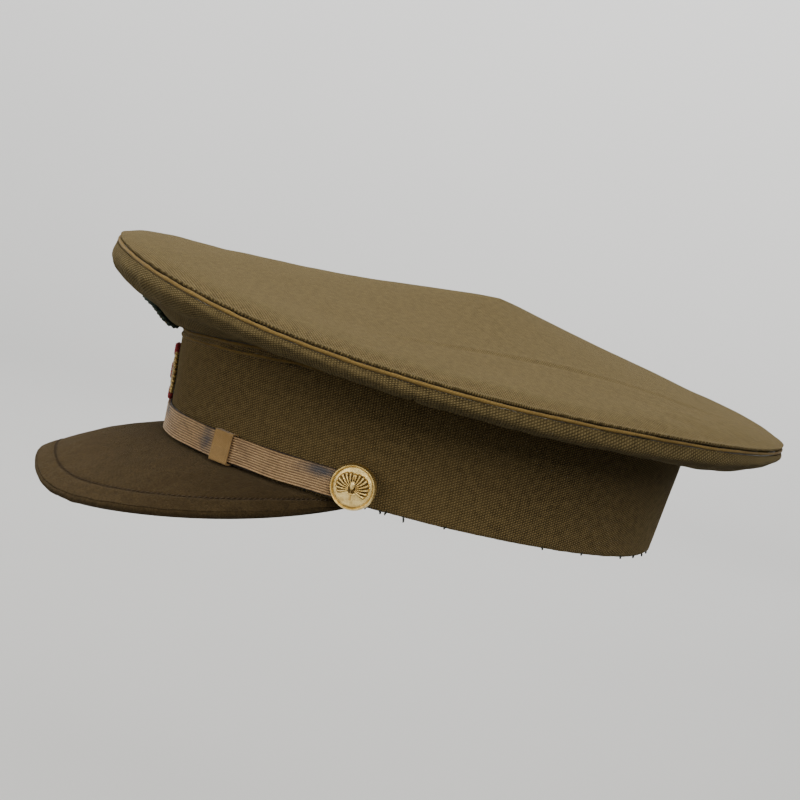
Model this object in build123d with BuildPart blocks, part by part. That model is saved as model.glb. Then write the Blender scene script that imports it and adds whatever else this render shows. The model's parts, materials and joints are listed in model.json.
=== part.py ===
"""Military peaked cap: a stiff cloth crown on a wire hoop, a deep head band, a bound cloth peak
and a lace chin strap held by two brass buttons.

Frame: +Z up, -Y the front, +X the wearer's left. The origin is the centre of the head opening, in
the plane of the band's bottom edge. Sizes are in millimetres.

The cap is built from radial sections. A section stands at an angle theta, counted from the front
towards the wearer's left. Inside it, `out` is the distance outward from the band's bottom edge and
`up` is the height.
"""

import os
from math import atan2, cos, degrees, exp, radians, sin, sqrt

from build123d import *

os.makedirs("parts", exist_ok=True)

# ---- driving dimensions -------------------------------------------------------------------------
BAND_HALF_WIDTH = 83.25      # outer face of the band at its bottom edge
BAND_HALF_LENGTH = 104.0
BAND_LEAN = 0.095            # outward slope of the band, mm per mm of height
BAND_HEIGHT = (39.0, 49.5, 41.0)        # at the front, sides and rear
WELT_GAP = (2.6, 3.8, 3.8)              # between the centres of the two band pipings

CROWN_HALF_WIDTH = 126.85    # seam between crown top and quarters
CROWN_HALF_LENGTH = 144.4
CROWN_SETBACK = 2.2          # the crown's centre lies behind the band's
SEAM_HEIGHT = (71.4, 56.4, 56.3)
SEAM_SWEEP = 1.5             # gathers the seam's rise towards the front
APEX_BACK = 17.0             # highest point of the crown, where the head lifts it
APEX_HEIGHT = 85.2
APEX_ROUNDING = 0.12
RIM_ROLL = (6.5, 6.0, 8.5)   # fullness of the crown top just inside the seam

CLOTH = 1.2                  # thickness of the outer cloth
LAYER_GAP = 0.12             # air between stacked layers
PIPING = 0.85                # radius of the band pipings
CROWN_PIPING = 1.1           # radius of the crown piping
SIDE_SEAM = 84.4             # angle of the seam between front and rear quarters
QUARTER_GAP = 0.06           # half of the gap between neighbouring quarters, degrees
REAR_GAP = 0.05              # half of the gap where a ring's ends meet at the rear, degrees

STIFFENER = 1.0
STIFFENER_DEPTH = 1.35       # from the band's outer face to the stiffener
SWEATBAND = 1.0
SWEATBAND_DEPTH = 4.3
SWEATBAND_BELOW_TOP = 6.0

HOOP_RADIUS = 1.0
HOOP_INSET = 3.4             # inward from the crown seam
HOOP_DROP = 1.6              # below the crown seam
FERRULE_RADIUS = 1.6
FERRULE_HALF_ANGLE = 4.5
STAY_HALF_ANGLE = 24.0

PEAK_REACH = 51.4            # root to tip at the front
PEAK_HALF_ANGLE = 78.0       # where the outline would meet the band
PEAK_END = 67.0              # where the layered peak stops
PEAK_ROOT_HEIGHT = -0.6
PEAK_EDGE_HEIGHT = -35.3      # lowest part of the edge, before the arch is added
PEAK_CORNER_HEIGHT = -0.33
PEAK_ARCH = 10.8             # how far the edge's middle stands above its front corners
PEAK_ARCH_ANGLE = 14.6
PEAK_COVER = 1.0
PEAK_BOARD = 1.2
PEAK_LINING = 0.7
PEAK_BORDER = 6.4            # plan width of the border strip at the front
PEAK_LAYER_GAP = 0.35
STITCH_ANGLE = 2.4
STITCHES_PER_SIDE = 27
STITCH_RADIUS = 0.25
PEAK_FLANGE_HEIGHT = 8.0
PEAK_FLANGE_DEPTH = 2.8      # from the band's outer face to the flange

STRAP_WIDTH = 10.8
STRAP_HEIGHT = (4.9, 6.5, 6.5)          # height of the strap's centre line
STRAP_STANDOFF = 2.4         # from the band's bottom edge to the backing
STRAP_TUCK = 1.1             # how much closer the strap lies at the front
STRAP_TUCK_ANGLE = 14.0
STRAP_BACKING = 0.8
STRAP_LACE = 1.1
STRAP_THICKNESS = STRAP_BACKING + LAYER_GAP + STRAP_LACE
LACE_FACE = STRAP_STANDOFF + STRAP_THICKNESS    # outer face of the lace, at the sides
STRAP_END = 79.8

BUTTON_ANGLE = 77.1
BUTTON_HEIGHT = 7.3
BUTTON_RADIUS = 8.75
BUTTON_DOME = 4.6
BUTTON_RIM = 1.6
BUTTON_WALL = 0.5
BUTTON_BACK = 0.6
BUTTON_SEAT_GAP = 0.3        # between the lace and the button
PRONG_RADIUS = 1.4
PRONG_HEAD_RADIUS = 2.8
PRONG_HEAD = 0.5
PRONG_CLEARANCE = 0.06
PRONG_LEG_SPAN = (2.4, 10.0)            # width, and length over both legs
PRONG_LEG_THICKNESS = 0.5
PRONG_LEG_GAP = 0.72         # between the stiffener and the bent legs

KEEPER_ANGLE = 44.0
KEEPER_LENGTH = 9.0
KEEPER_WALL = 0.6
KEEPER_CLEARANCE = 0.35

BADGE_HALF_WIDTH = 15.0
BADGE_HALF_HEIGHT = 11.6
BADGE_HEIGHT = 22.6          # of the band badge's middle
BADGE_BACKING = 1.0
BADGE_RELIEF = 1.7
CROWN_BADGE_RELIEF = 0.9

STATION_STEP = 15.0          # angle between the sections of a loft


# ---- shape of the cap ---------------------------------------------------------------------------
def around(theta, front, side, rear):
    """A value that changes smoothly from front to sides to rear."""
    angle = radians(theta)
    mean = (front + rear) / 4 + side / 2
    return mean + (front - rear) / 2 * cos(angle) + ((front + rear) / 4 - side / 2) * cos(2 * angle)


def reach(theta):
    """Horizontal vector from the band's bottom edge to the crown seam."""
    angle = radians(theta)
    across = (CROWN_HALF_WIDTH - BAND_HALF_WIDTH) * sin(angle)
    along = CROWN_SETBACK - (CROWN_HALF_LENGTH - BAND_HALF_LENGTH) * cos(angle)
    return Vector(across, along, 0)


def spread(theta):
    return reach(theta).length


def station(theta):
    """Upright plane of a section: local x is `out` and local y is `up`."""
    angle = radians(theta)
    foot = Vector(BAND_HALF_WIDTH * sin(angle), -BAND_HALF_LENGTH * cos(angle), 0)
    outward = reach(theta)
    return Plane(origin=foot, x_dir=outward, z_dir=outward.cross(Vector(0, 0, 1)))


def place(theta, out, up):
    return station(theta).from_local_coords(Vector(out, up, 0))


def lean(up):
    return BAND_LEAN * up


def band_top(theta):
    return around(theta, *BAND_HEIGHT)


def welt_top(theta):
    return band_top(theta) + around(theta, *WELT_GAP)


def seam_height(theta):
    angle = radians(theta)
    return around(theta, *SEAM_HEIGHT) + SEAM_SWEEP * (cos(3 * angle) - cos(angle))


def crown_height(x, y):
    """Top face of the crown: a rounded tent from the seam to the apex, full just inside the seam."""
    across = x / CROWN_HALF_WIDTH
    along = (y - APEX_BACK) / CROWN_HALF_LENGTH
    offset = (APEX_BACK - CROWN_SETBACK) / CROWN_HALF_LENGTH
    square = across**2 + along**2
    if square < 1e-9:
        return APEX_HEIGHT
    root = sqrt((offset * along) ** 2 + square * (1 - offset**2))
    scale = (root - offset * along) / square
    share = 1 / scale
    theta = degrees(atan2(scale * across, -(offset + scale * along)))
    seam = seam_height(theta)
    rounded = (sqrt(share**2 + APEX_ROUNDING**2) - APEX_ROUNDING) / (
        sqrt(1 + APEX_ROUNDING**2) - APEX_ROUNDING
    )
    roll = around(theta, *RIM_ROLL) * (1 - share**12) * share**4
    return seam + (APEX_HEIGHT - seam) * (1 - rounded) + roll


def quarter_profile(theta):
    """Outer face of the quarters, from the upper band piping out and up to the crown seam."""
    start = lean(band_top(theta)) + 0.3
    width = spread(theta)
    points = [
        (start, welt_top(theta) + PIPING + 0.15),
        (start + 3.2, around(theta, 42.6, 53.6, 41.0)),
        (0.45 * width, around(theta, 49.4, 51.0, 41.6)),
        (0.78 * width, around(theta, 55.0, 49.3, 47.4)),
        (0.93 * width, around(theta, 58.8, 49.0, 51.0)),
        (width + around(theta, 1.2, 0.9, 0.5), around(theta, 63.0, 52.0, 53.8)),
        (width, seam_height(theta) - CROWN_PIPING - 0.15),
    ]
    return Spline(*points, mode=Mode.PRIVATE)


def quarter_layer(theta, first, last, depth, steps=8):
    """Points along a stretch of the quarter profile, `depth` inside its outer face."""
    profile = quarter_profile(theta)
    points = []
    for step in range(steps + 1):
        share = first + (last - first) * step / steps
        tangent = profile % share
        inward = Vector(-tangent.Y, tangent.X, 0)
        points.append(profile @ share + inward * depth)
    return points


def peak_width(theta):
    share = min(abs(theta) / PEAK_HALF_ANGLE, 1)
    return PEAK_REACH * (1 - share**2.315) ** 1.519


def peak_profile(theta, share):
    """Top face of the peak: `share` runs from 0 at the band to 1 at the outer edge."""
    aside = min(abs(theta) / PEAK_HALF_ANGLE, 1)
    edge = PEAK_CORNER_HEIGHT + (PEAK_EDGE_HEIGHT - PEAK_CORNER_HEIGHT) * (1 - aside**1.71)
    edge += PEAK_ARCH * exp(-((theta / PEAK_ARCH_ANGLE) ** 2))
    fall = share - (0.55 - 0.22 * aside**4) * share * (1 - share)
    return Vector(peak_width(theta) * share, PEAK_ROOT_HEIGHT + (edge - PEAK_ROOT_HEIGHT) * fall, 0)


def peak_layer(theta, shares, depth):
    """Points on the peak's section, `depth` below the top face, measured square to it."""
    points = []
    for share in shares:
        before = max(share - 0.02, 0)
        tangent = (peak_profile(theta, share + 0.02) - peak_profile(theta, before)).normalized()
        points.append(peak_profile(theta, share) + Vector(tangent.Y, -tangent.X, 0) * depth)
    return points


def border_share(theta):
    """Where the border strip's seam lies across the peak."""
    border = PEAK_BORDER + 1.2 * (theta / PEAK_HALF_ANGLE) ** 2
    inside = 1 - border / peak_width(theta)
    return 0.12 + 0.45 * (inside + sqrt(inside**2 + 0.02))


def between(first, last, count):
    return [first + (last - first) * step / count for step in range(count + 1)]


# ---- makers -------------------------------------------------------------------------------------
def loft_sections(section, start, end, step=STATION_STEP, mode=Mode.ADD):
    """Lofts `section` from one angle to another, into the part in hand."""
    spans = max(2, round(abs(end - start) / step))
    sections = []
    for theta in between(start, end, spans):
        corners = section(theta)
        with BuildSketch(station(theta)) as outline:
            with BuildLine():
                Polyline(*corners, close=True)
            make_face()
        sections.append(outline.sketch.faces()[0])
    loft(sections, mode=mode)


def loft_ring(section, step=STATION_STEP):
    """Lofts a ring in two halves, with its two ends in the cap's rear seam."""
    loft_sections(section, REAR_GAP - 180, 0, step)
    loft_sections(section, 0, 180 - REAR_GAP, step)


def strip(inner, outer):
    """Closed outline between two rows of points."""
    return list(inner) + list(reversed(outer))


def loft_tube(centre, radius, start, end, step=STATION_STEP, mode=Mode.ADD):
    """Lofts a round tube along `centre`, which gives its place in each section."""
    spans = max(2, round(abs(end - start) / step))
    sections = []
    for theta in between(start, end, spans):
        with BuildSketch(station(theta)) as outline:
            with Locations(centre(theta)):
                Circle(radius)
        sections.append(outline.sketch.faces()[0])
    loft(sections, mode=mode)


def loft_tube_ring(centre, radius):
    loft_tube(centre, radius, REAR_GAP - 180, 0)
    loft_tube(centre, radius, 0, 180 - REAR_GAP)


def crown_sheet(depth, thickness, inset):
    """Adds a sheet that lies `depth` under the crown's top face, trimmed inside the seam."""
    across, along = 34, 38
    half_width, half_length = CROWN_HALF_WIDTH + 4, CROWN_HALF_LENGTH + 4
    points = [
        [Vector(x, y, crown_height(x, y) - depth) for y in between(-half_length, half_length + 4, along)]
        for x in between(-half_width, half_width, across)
    ]
    extrude(Face.make_surface_from_array_of_points(points, tol=0.02), amount=thickness, dir=(0, 0, -1))
    with BuildSketch() as outline:
        with Locations((0, CROWN_SETBACK)):
            Ellipse(CROWN_HALF_WIDTH - inset, CROWN_HALF_LENGTH - inset)
    extrude(outline.sketch, amount=2 * APEX_HEIGHT, mode=Mode.INTERSECT)


def button_plane(side):
    """Local z points outward along the button's prongs; the origin lies on the strap's face."""
    seat = place(side * BUTTON_ANGLE, LACE_FACE, BUTTON_HEIGHT)
    before = place(side * (BUTTON_ANGLE - 1), LACE_FACE, BUTTON_HEIGHT)
    after = place(side * (BUTTON_ANGLE + 1), LACE_FACE, BUTTON_HEIGHT)
    along = (after - before).normalized() * side
    return Plane(origin=seat, x_dir=along, z_dir=along.cross(Vector(0, 0, 1)))


def prong_holes():
    """Cuts the two prong holes through the part in hand."""
    for side in (1, -1):
        with Locations(button_plane(side).offset(2)):
            Hole(PRONG_RADIUS + PRONG_CLEARANCE, depth=12)


def strap_section(depth, thickness):
    """A layer of the strap that starts `depth` outside the backing's inner face."""

    def section(theta):
        middle = around(theta, *STRAP_HEIGHT)
        low, high = middle - STRAP_WIDTH / 2, middle + STRAP_WIDTH / 2
        near = STRAP_STANDOFF - STRAP_TUCK * exp(-((theta / STRAP_TUCK_ANGLE) ** 2)) + depth
        far = near + thickness
        return [(near, low), (far, low), (far, high), (near, high)]

    return section


def save(part, name):
    part.label = name
    export_step(part, f"parts/{name}.step")


# ---- crown --------------------------------------------------------------------------------------
with BuildPart() as crown_top:
    crown_sheet(0, CLOTH, CROWN_PIPING + 0.25)
save(crown_top.part, "crown_top")

with BuildPart() as crown_interlining:
    crown_sheet(CLOTH + LAYER_GAP, 0.8, 5.0)
save(crown_interlining.part, "crown_interlining")

with BuildPart() as crown_piping:
    loft_tube_ring(lambda theta: (spread(theta), seam_height(theta)), CROWN_PIPING)
save(crown_piping.part, "crown_piping")

QUARTERS = {
    "quarter_front_left": (0, SIDE_SEAM),
    "quarter_rear_left": (SIDE_SEAM, 180),
    "quarter_rear_right": (180, 360 - SIDE_SEAM),
    "quarter_front_right": (360 - SIDE_SEAM, 360),
}
for quarter_name, (quarter_start, quarter_end) in QUARTERS.items():
    with BuildPart() as quarter:
        loft_sections(
            lambda theta: strip(quarter_layer(theta, 0, 1, 0), quarter_layer(theta, 0, 1, CLOTH)),
            quarter_start + QUARTER_GAP,
            quarter_end - QUARTER_GAP,
            step=12,
        )
    save(quarter.part, quarter_name)


def hoop_centre(theta):
    return spread(theta) - HOOP_INSET, seam_height(theta) - HOOP_DROP


with BuildPart() as crown_hoop:
    loft_tube_ring(hoop_centre, HOOP_RADIUS)
save(crown_hoop.part, "crown_hoop")

with BuildPart() as hoop_ferrule:
    ends = (180 - FERRULE_HALF_ANGLE, 180 + FERRULE_HALF_ANGLE)
    loft_tube(hoop_centre, FERRULE_RADIUS, *ends, step=3)
    loft_tube(hoop_centre, HOOP_RADIUS + 0.1, *ends, step=3, mode=Mode.SUBTRACT)
save(hoop_ferrule.part, "hoop_ferrule")

with BuildPart() as front_stay:
    near, far = CLOTH + 0.3, CLOTH + 1.5
    loft_sections(
        lambda theta: strip(quarter_layer(theta, 0.2, 0.78, near), quarter_layer(theta, 0.2, 0.78, far)),
        -STAY_HALF_ANGLE,
        STAY_HALF_ANGLE,
        step=8,
    )
save(front_stay.part, "front_stay")


# ---- lining -------------------------------------------------------------------------------------
LINING = 0.6
LINING_INSET = 9.0
LINING_DEPTH = 3.4


def side_lining_section(theta):
    """Runs up behind the sweatband, out over the quarters and up to the top lining."""
    foot = band_top(theta) - SWEATBAND_BELOW_TOP - 4
    neck = welt_top(theta) + 3.4
    edge = spread(theta) - LINING_INSET
    corner = place(theta, edge, 0)
    roof = crown_height(corner.X, corner.Y) - LINING_DEPTH - LINING - LAYER_GAP
    shelf = around(theta, 60.6, 52.6, 51.0)
    outer = [(lean(foot) - 2.75, foot), (lean(neck) - 3.0, neck), (0.45 * edge, neck + 0.45 * (shelf - neck))]
    outer += [(edge, shelf), (edge, roof)]
    inner = [(lean(foot) - 2.75 - LINING, foot), (lean(neck) - 3.0 - LINING, neck + LINING)]
    inner += [(0.45 * edge, neck + 0.45 * (shelf - neck) + LINING), (edge - LINING, shelf + LINING)]
    inner += [(edge - LINING, roof)]
    return strip(outer, inner)


with BuildPart() as lining_side:
    loft_ring(side_lining_section)
save(lining_side.part, "lining_side")

with BuildPart() as lining_top:
    crown_sheet(LINING_DEPTH, LINING, LINING_INSET - 1)
save(lining_top.part, "lining_top")


# ---- head band ----------------------------------------------------------------------------------
def band_section(depth, thickness, low, below_top):
    def section(theta):
        high = band_top(theta) - below_top
        far = depth + thickness
        return [
            (lean(low) - depth, low),
            (lean(high) - depth, high),
            (lean(high) - far, high),
            (lean(low) - far, low),
        ]

    return section


with BuildPart() as band_cloth:
    loft_ring(band_section(0, CLOTH, 0, PIPING + 0.1))
    prong_holes()
save(band_cloth.part, "band_cloth")

with BuildPart() as band_stiffener:
    loft_ring(band_section(STIFFENER_DEPTH, STIFFENER, 1.5, 1.5))
    prong_holes()
save(band_stiffener.part, "band_stiffener")

with BuildPart() as sweatband:
    loft_ring(band_section(SWEATBAND_DEPTH, SWEATBAND, 0.8, SWEATBAND_BELOW_TOP))
save(sweatband.part, "sweatband")

with BuildPart() as band_piping_lower:
    loft_tube_ring(lambda theta: (lean(band_top(theta)) - 0.3, band_top(theta)), PIPING)
save(band_piping_lower.part, "band_piping_lower")

with BuildPart() as band_piping_upper:
    loft_tube_ring(lambda theta: (lean(band_top(theta)) - 0.1, welt_top(theta)), PIPING)
save(band_piping_upper.part, "band_piping_upper")


def welt_section(theta):
    face = lean(band_top(theta)) - 0.2
    low, high = band_top(theta) + PIPING + 0.1, welt_top(theta) - PIPING - 0.1
    return [(face, low), (face, high), (face - 1, high), (face - 1, low)]


with BuildPart() as band_welt:
    loft_ring(welt_section, step=5)
save(band_welt.part, "band_welt")


# ---- peak ---------------------------------------------------------------------------------------
BOARD_DEPTH = PEAK_COVER + PEAK_LAYER_GAP
LINING_START = BOARD_DEPTH + PEAK_BOARD + PEAK_LAYER_GAP
PEAK_THICKNESS = LINING_START + PEAK_LINING


def cover_section(theta):
    shares = between(0, border_share(theta) - 0.1 / peak_width(theta), 12)
    return strip(peak_layer(theta, shares, 0), peak_layer(theta, shares, PEAK_COVER))


def board_section(theta):
    """The board and, at its root, the upright flange sewn in behind the band's stiffener."""
    shares = between(0, 1 - 2.8 / peak_width(theta), 16)
    top = peak_layer(theta, shares, BOARD_DEPTH)
    bottom = peak_layer(theta, shares, BOARD_DEPTH + PEAK_BOARD)
    near, far = -PEAK_FLANGE_DEPTH, -PEAK_FLANGE_DEPTH - 1
    rise = lean(PEAK_FLANGE_HEIGHT)
    flange = [
        (far, bottom[0].Y),
        (far + rise, PEAK_FLANGE_HEIGHT),
        (near + rise, PEAK_FLANGE_HEIGHT),
        (near, top[0].Y),
    ]
    return strip(top, bottom) + flange


def under_share(theta):
    """Where the border strip ends on the underside."""
    return border_share(theta) + 0.3 * (1 - border_share(theta))


def lining_section(theta):
    shares = between(0, under_share(theta) - 0.1 / peak_width(theta), 12)
    return strip(peak_layer(theta, shares, LINING_START), peak_layer(theta, shares, PEAK_THICKNESS))


def border_section(theta):
    """The border strip in section: over the top face, round the edge and back underneath."""
    width = peak_width(theta)
    top = between(border_share(theta), 1, 6)
    under = between(under_share(theta), 1 - 0.3 / width, 5)
    inner_top = between(border_share(theta), 1 - 1.3 / width, 6)
    inner_under = between(under_share(theta), 1 - 1.3 / width, 5)
    outside = peak_layer(theta, top, 0) + list(reversed(peak_layer(theta, under, PEAK_THICKNESS)))
    inside = peak_layer(theta, inner_top, PEAK_COVER)
    inside += list(reversed(peak_layer(theta, inner_under, LINING_START)))
    return strip(outside, inside)


PEAK_PARTS = {"peak_cover": cover_section, "peak_lining": lining_section, "peak_binding": border_section}
for peak_name, peak_section in PEAK_PARTS.items():
    with BuildPart() as peak_layer_part:
        loft_sections(peak_section, -PEAK_END, PEAK_END, step=6)
    save(peak_layer_part.part, peak_name)

with BuildPart() as peak_board:
    loft_sections(board_section, -PEAK_END, PEAK_END, step=6)
save(peak_board.part, "peak_board")


def seam_point(theta):
    """A point of the thread, just above the border strip's inner edge."""
    centre = peak_layer(theta, [border_share(theta)], -0.5)[0]
    return place(theta, centre.X, centre.Y)


with BuildPart() as peak_stitching:
    for stitch in range(-STITCHES_PER_SIDE, STITCHES_PER_SIDE + 1):
        theta = stitch * STITCH_ANGLE
        first, last = seam_point(theta - 0.35 * STITCH_ANGLE), seam_point(theta + 0.35 * STITCH_ANGLE)
        with Locations(Plane(origin=(first + last) / 2, z_dir=last - first)):
            Cylinder(STITCH_RADIUS, (last - first).length)
save(peak_stitching.part, "peak_stitching")


# ---- chin strap ---------------------------------------------------------------------------------
with BuildPart() as strap_backing:
    loft_sections(strap_section(0, STRAP_BACKING), -STRAP_END, STRAP_END, 8)
    prong_holes()
save(strap_backing.part, "strap_backing")

with BuildPart() as strap_lace:
    loft_sections(strap_section(STRAP_BACKING + LAYER_GAP, STRAP_LACE), -STRAP_END, STRAP_END, 8)
    prong_holes()
save(strap_lace.part, "strap_lace")


def strap_arc(side):
    """Arc that the strap's middle line follows where the keeper slides."""
    out = (STRAP_STANDOFF + LACE_FACE) / 2
    angles = [side * (KEEPER_ANGLE + turn) for turn in (-8, 0, 8)]
    points = [place(angle, out, around(angle, *STRAP_HEIGHT)) for angle in angles]
    return ThreePointArc(*points, mode=Mode.PRIVATE)


KEEPER_SLOT = (STRAP_THICKNESS + 2 * KEEPER_CLEARANCE, STRAP_WIDTH + 2 * KEEPER_CLEARANCE)
KEEPER_OUTSIDE = (KEEPER_SLOT[0] + 2 * KEEPER_WALL, KEEPER_SLOT[1] + 2 * KEEPER_WALL)

for side, side_name in ((1, "left"), (-1, "right")):
    arc = strap_arc(side)
    middle = arc @ 0.5
    outward = (middle - arc.arc_center).normalized()
    upward = outward.cross(arc % 0.5) * side
    turn = degrees(KEEPER_LENGTH / arc.radius)
    axle = Axis(arc.arc_center, upward)
    with BuildPart() as keeper:
        with BuildSketch(Plane(origin=middle, x_dir=outward, z_dir=outward.cross(upward))):
            Rectangle(*KEEPER_OUTSIDE)
            Rectangle(*KEEPER_SLOT, mode=Mode.SUBTRACT)
        revolve(axis=axle, revolution_arc=turn)
    save(keeper.part.rotate(axle, -turn / 2), f"keeper_{side_name}")


# ---- buttons ------------------------------------------------------------------------------------
DOME_RISE = BUTTON_DOME - BUTTON_RIM
DOME_RADIUS = (BUTTON_RADIUS**2 + DOME_RISE**2) / (2 * DOME_RISE)


def domed_blank(side, inset):
    """The button's solid dome, smaller by `inset` for its inside."""
    with BuildPart() as blank:
        with Locations(button_plane(side).offset(BUTTON_SEAT_GAP + BUTTON_DOME - DOME_RADIUS)):
            Sphere(DOME_RADIUS - inset)
        with BuildSketch(button_plane(side).offset(BUTTON_SEAT_GAP)) as base:
            Circle(BUTTON_RADIUS - inset)
        extrude(base.sketch, amount=BUTTON_DOME, mode=Mode.INTERSECT)
    return blank.part


for side, side_name in ((1, "left"), (-1, "right")):

    with BuildPart() as button_shell:
        add(domed_blank(side, 0))
        add(domed_blank(side, BUTTON_WALL), mode=Mode.SUBTRACT)
    save(button_shell.part, f"button_shell_{side_name}")

    with BuildPart() as button_back:
        with BuildSketch(button_plane(side).offset(BUTTON_SEAT_GAP)):
            Circle(BUTTON_RADIUS - BUTTON_WALL - 0.1)
            Circle(PRONG_RADIUS + 0.05, mode=Mode.SUBTRACT)
        extrude(amount=BUTTON_BACK)
    save(button_back.part, f"button_back_{side_name}")

    head_face = BUTTON_SEAT_GAP + BUTTON_BACK + 0.1
    leg_face = lean(BUTTON_HEIGHT) - LACE_FACE - STIFFENER_DEPTH - STIFFENER - PRONG_LEG_GAP
    with BuildPart() as button_prongs:
        with BuildSketch(button_plane(side).offset(leg_face)):
            Circle(PRONG_RADIUS)
        extrude(amount=head_face - leg_face)
        with BuildSketch(button_plane(side).offset(head_face)):
            Circle(PRONG_HEAD_RADIUS)
        extrude(amount=PRONG_HEAD)
        with BuildSketch(button_plane(side).offset(leg_face)):
            Rectangle(*PRONG_LEG_SPAN)
        extrude(amount=-PRONG_LEG_THICKNESS)
    save(button_prongs.part, f"button_prongs_{side_name}")


# ---- badges -------------------------------------------------------------------------------------
def front_slice(first, last, low=6, high=35):
    """A slice of the space in front of the band, between two distances from its face."""
    near = [(lean(low) + first, low), (lean(high) + first, high)]
    far = [(lean(low) + last, low), (lean(high) + last, high)]
    return lambda theta: strip(near, far)


BAND_BADGE_PLANE = Plane(origin=(0, -BAND_HALF_LENGTH - 20, BADGE_HEIGHT), x_dir=(1, 0, 0), z_dir=(0, 1, 0))
CROWN_BADGE_PLANE = Plane(origin=(0, -119, 38), x_dir=(1, 0, 0), z_dir=(0, 0.58, 0.81))
BACKING_START = 0.25
RELIEF_START = BACKING_START + BADGE_BACKING + 0.1


def oval_cut(plane, half_width, half_height, hole_width=0, hole_height=0):
    with BuildSketch(plane) as oval:
        Ellipse(half_width, half_height)
        if hole_width:
            Ellipse(hole_width, hole_height, mode=Mode.SUBTRACT)
    extrude(oval.sketch, amount=40, mode=Mode.INTERSECT)


with BuildPart() as band_badge_backing:
    loft_sections(front_slice(BACKING_START, BACKING_START + BADGE_BACKING), -12, 12, step=6)
    oval_cut(BAND_BADGE_PLANE, BADGE_HALF_WIDTH, BADGE_HALF_HEIGHT)
save(band_badge_backing.part, "band_badge_backing")

with BuildPart() as band_badge_wreath:
    loft_sections(front_slice(RELIEF_START, RELIEF_START + BADGE_RELIEF), -12, 12, step=6)
    oval_cut(BAND_BADGE_PLANE, BADGE_HALF_WIDTH - 1, BADGE_HALF_HEIGHT - 0.7, 7.2, 6.0)
save(band_badge_wreath.part, "band_badge_wreath")

with BuildPart() as band_badge_centre:
    loft_sections(front_slice(RELIEF_START, RELIEF_START + BADGE_RELIEF + 0.2), -12, 12, step=6)
    oval_cut(BAND_BADGE_PLANE, 6.6, 5.4)
save(band_badge_centre.part, "band_badge_centre")


def crown_badge_section(first, last):
    def section(theta):
        return strip(quarter_layer(theta, 0.03, 0.6, -last), quarter_layer(theta, 0.03, 0.6, -first))

    return section


with BuildPart() as crown_badge_backing:
    loft_sections(crown_badge_section(BACKING_START, BACKING_START + BADGE_BACKING), -12, 12, step=6)
    oval_cut(CROWN_BADGE_PLANE, 14, 9.5)
save(crown_badge_backing.part, "crown_badge_backing")

with BuildPart() as crown_badge_emblem:
    loft_sections(crown_badge_section(RELIEF_START, RELIEF_START + CROWN_BADGE_RELIEF), -12, 12, step=6)
    oval_cut(CROWN_BADGE_PLANE, 12.5, 8.2)
save(crown_badge_emblem.part, "crown_badge_emblem")
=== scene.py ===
"""Looks of the military peaked cap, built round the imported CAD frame.

The cap is made of radial sections, as its CAD is. A section stands at an angle theta in degrees,
counted from the front towards the wearer's left. In it, `out` is the distance outward from the
band's bottom edge and `up` is the height. Shapes are worked out in millimetres and written to the
meshes in metres.
"""

import json

import bmesh
import bpy
import numpy as np
from mathutils import Matrix, Vector


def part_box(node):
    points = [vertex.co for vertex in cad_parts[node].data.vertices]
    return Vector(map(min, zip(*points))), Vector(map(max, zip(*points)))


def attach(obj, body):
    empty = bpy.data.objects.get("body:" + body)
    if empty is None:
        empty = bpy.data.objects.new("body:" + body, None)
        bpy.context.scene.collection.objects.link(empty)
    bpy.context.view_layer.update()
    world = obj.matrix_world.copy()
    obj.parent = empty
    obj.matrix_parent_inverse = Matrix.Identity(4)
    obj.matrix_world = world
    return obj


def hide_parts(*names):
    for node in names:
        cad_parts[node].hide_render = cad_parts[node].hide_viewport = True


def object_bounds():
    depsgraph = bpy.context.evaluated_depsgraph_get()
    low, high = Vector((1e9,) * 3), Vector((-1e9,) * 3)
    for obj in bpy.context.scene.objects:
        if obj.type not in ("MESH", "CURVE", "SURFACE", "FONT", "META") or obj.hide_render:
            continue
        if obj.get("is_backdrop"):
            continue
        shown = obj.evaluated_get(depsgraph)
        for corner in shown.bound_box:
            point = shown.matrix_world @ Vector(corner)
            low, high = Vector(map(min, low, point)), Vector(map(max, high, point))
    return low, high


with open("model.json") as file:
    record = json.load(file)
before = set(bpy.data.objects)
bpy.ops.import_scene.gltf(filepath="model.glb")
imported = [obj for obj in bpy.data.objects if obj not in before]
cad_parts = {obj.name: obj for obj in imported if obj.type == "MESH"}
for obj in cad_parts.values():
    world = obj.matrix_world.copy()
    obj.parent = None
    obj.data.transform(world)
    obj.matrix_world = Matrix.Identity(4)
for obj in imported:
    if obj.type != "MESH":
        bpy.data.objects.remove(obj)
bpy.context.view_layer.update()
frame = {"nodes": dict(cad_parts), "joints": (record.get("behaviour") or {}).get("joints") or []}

MM = 0.001


def node_size(node):
    """Lowest and highest corners of a CAD node, in millimetres."""
    low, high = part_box(node)
    return np.array(low) / MM, np.array(high) / MM


# ---- sizes from the frame -----------------------------------------------------------------------
PIPING_RADIUS = 1.1
BAND_LEAN = 0.095
BAND_HALF_WIDTH = 83.25
BAND_HALF_LENGTH = 104.0
BAND_HEIGHT = (39.0, 49.5, 41.0)
WELT_GAP = (2.6, 3.8, 3.8)

piping_low, piping_high = node_size("crown_piping")
CROWN_HALF_WIDTH = piping_high[0] - PIPING_RADIUS
CROWN_HALF_LENGTH = (piping_high[1] - piping_low[1]) / 2 - PIPING_RADIUS
CROWN_SETBACK = (piping_high[1] + piping_low[1]) / 2
SEAM_HEIGHT = (71.4, 56.4, 56.3)
SEAM_SWEEP = 1.5
APEX_BACK = 17.0
APEX_HEIGHT = node_size("crown_top")[1][2]
SIDE_SEAM = 84.4
CLOTH = 1.2

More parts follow.
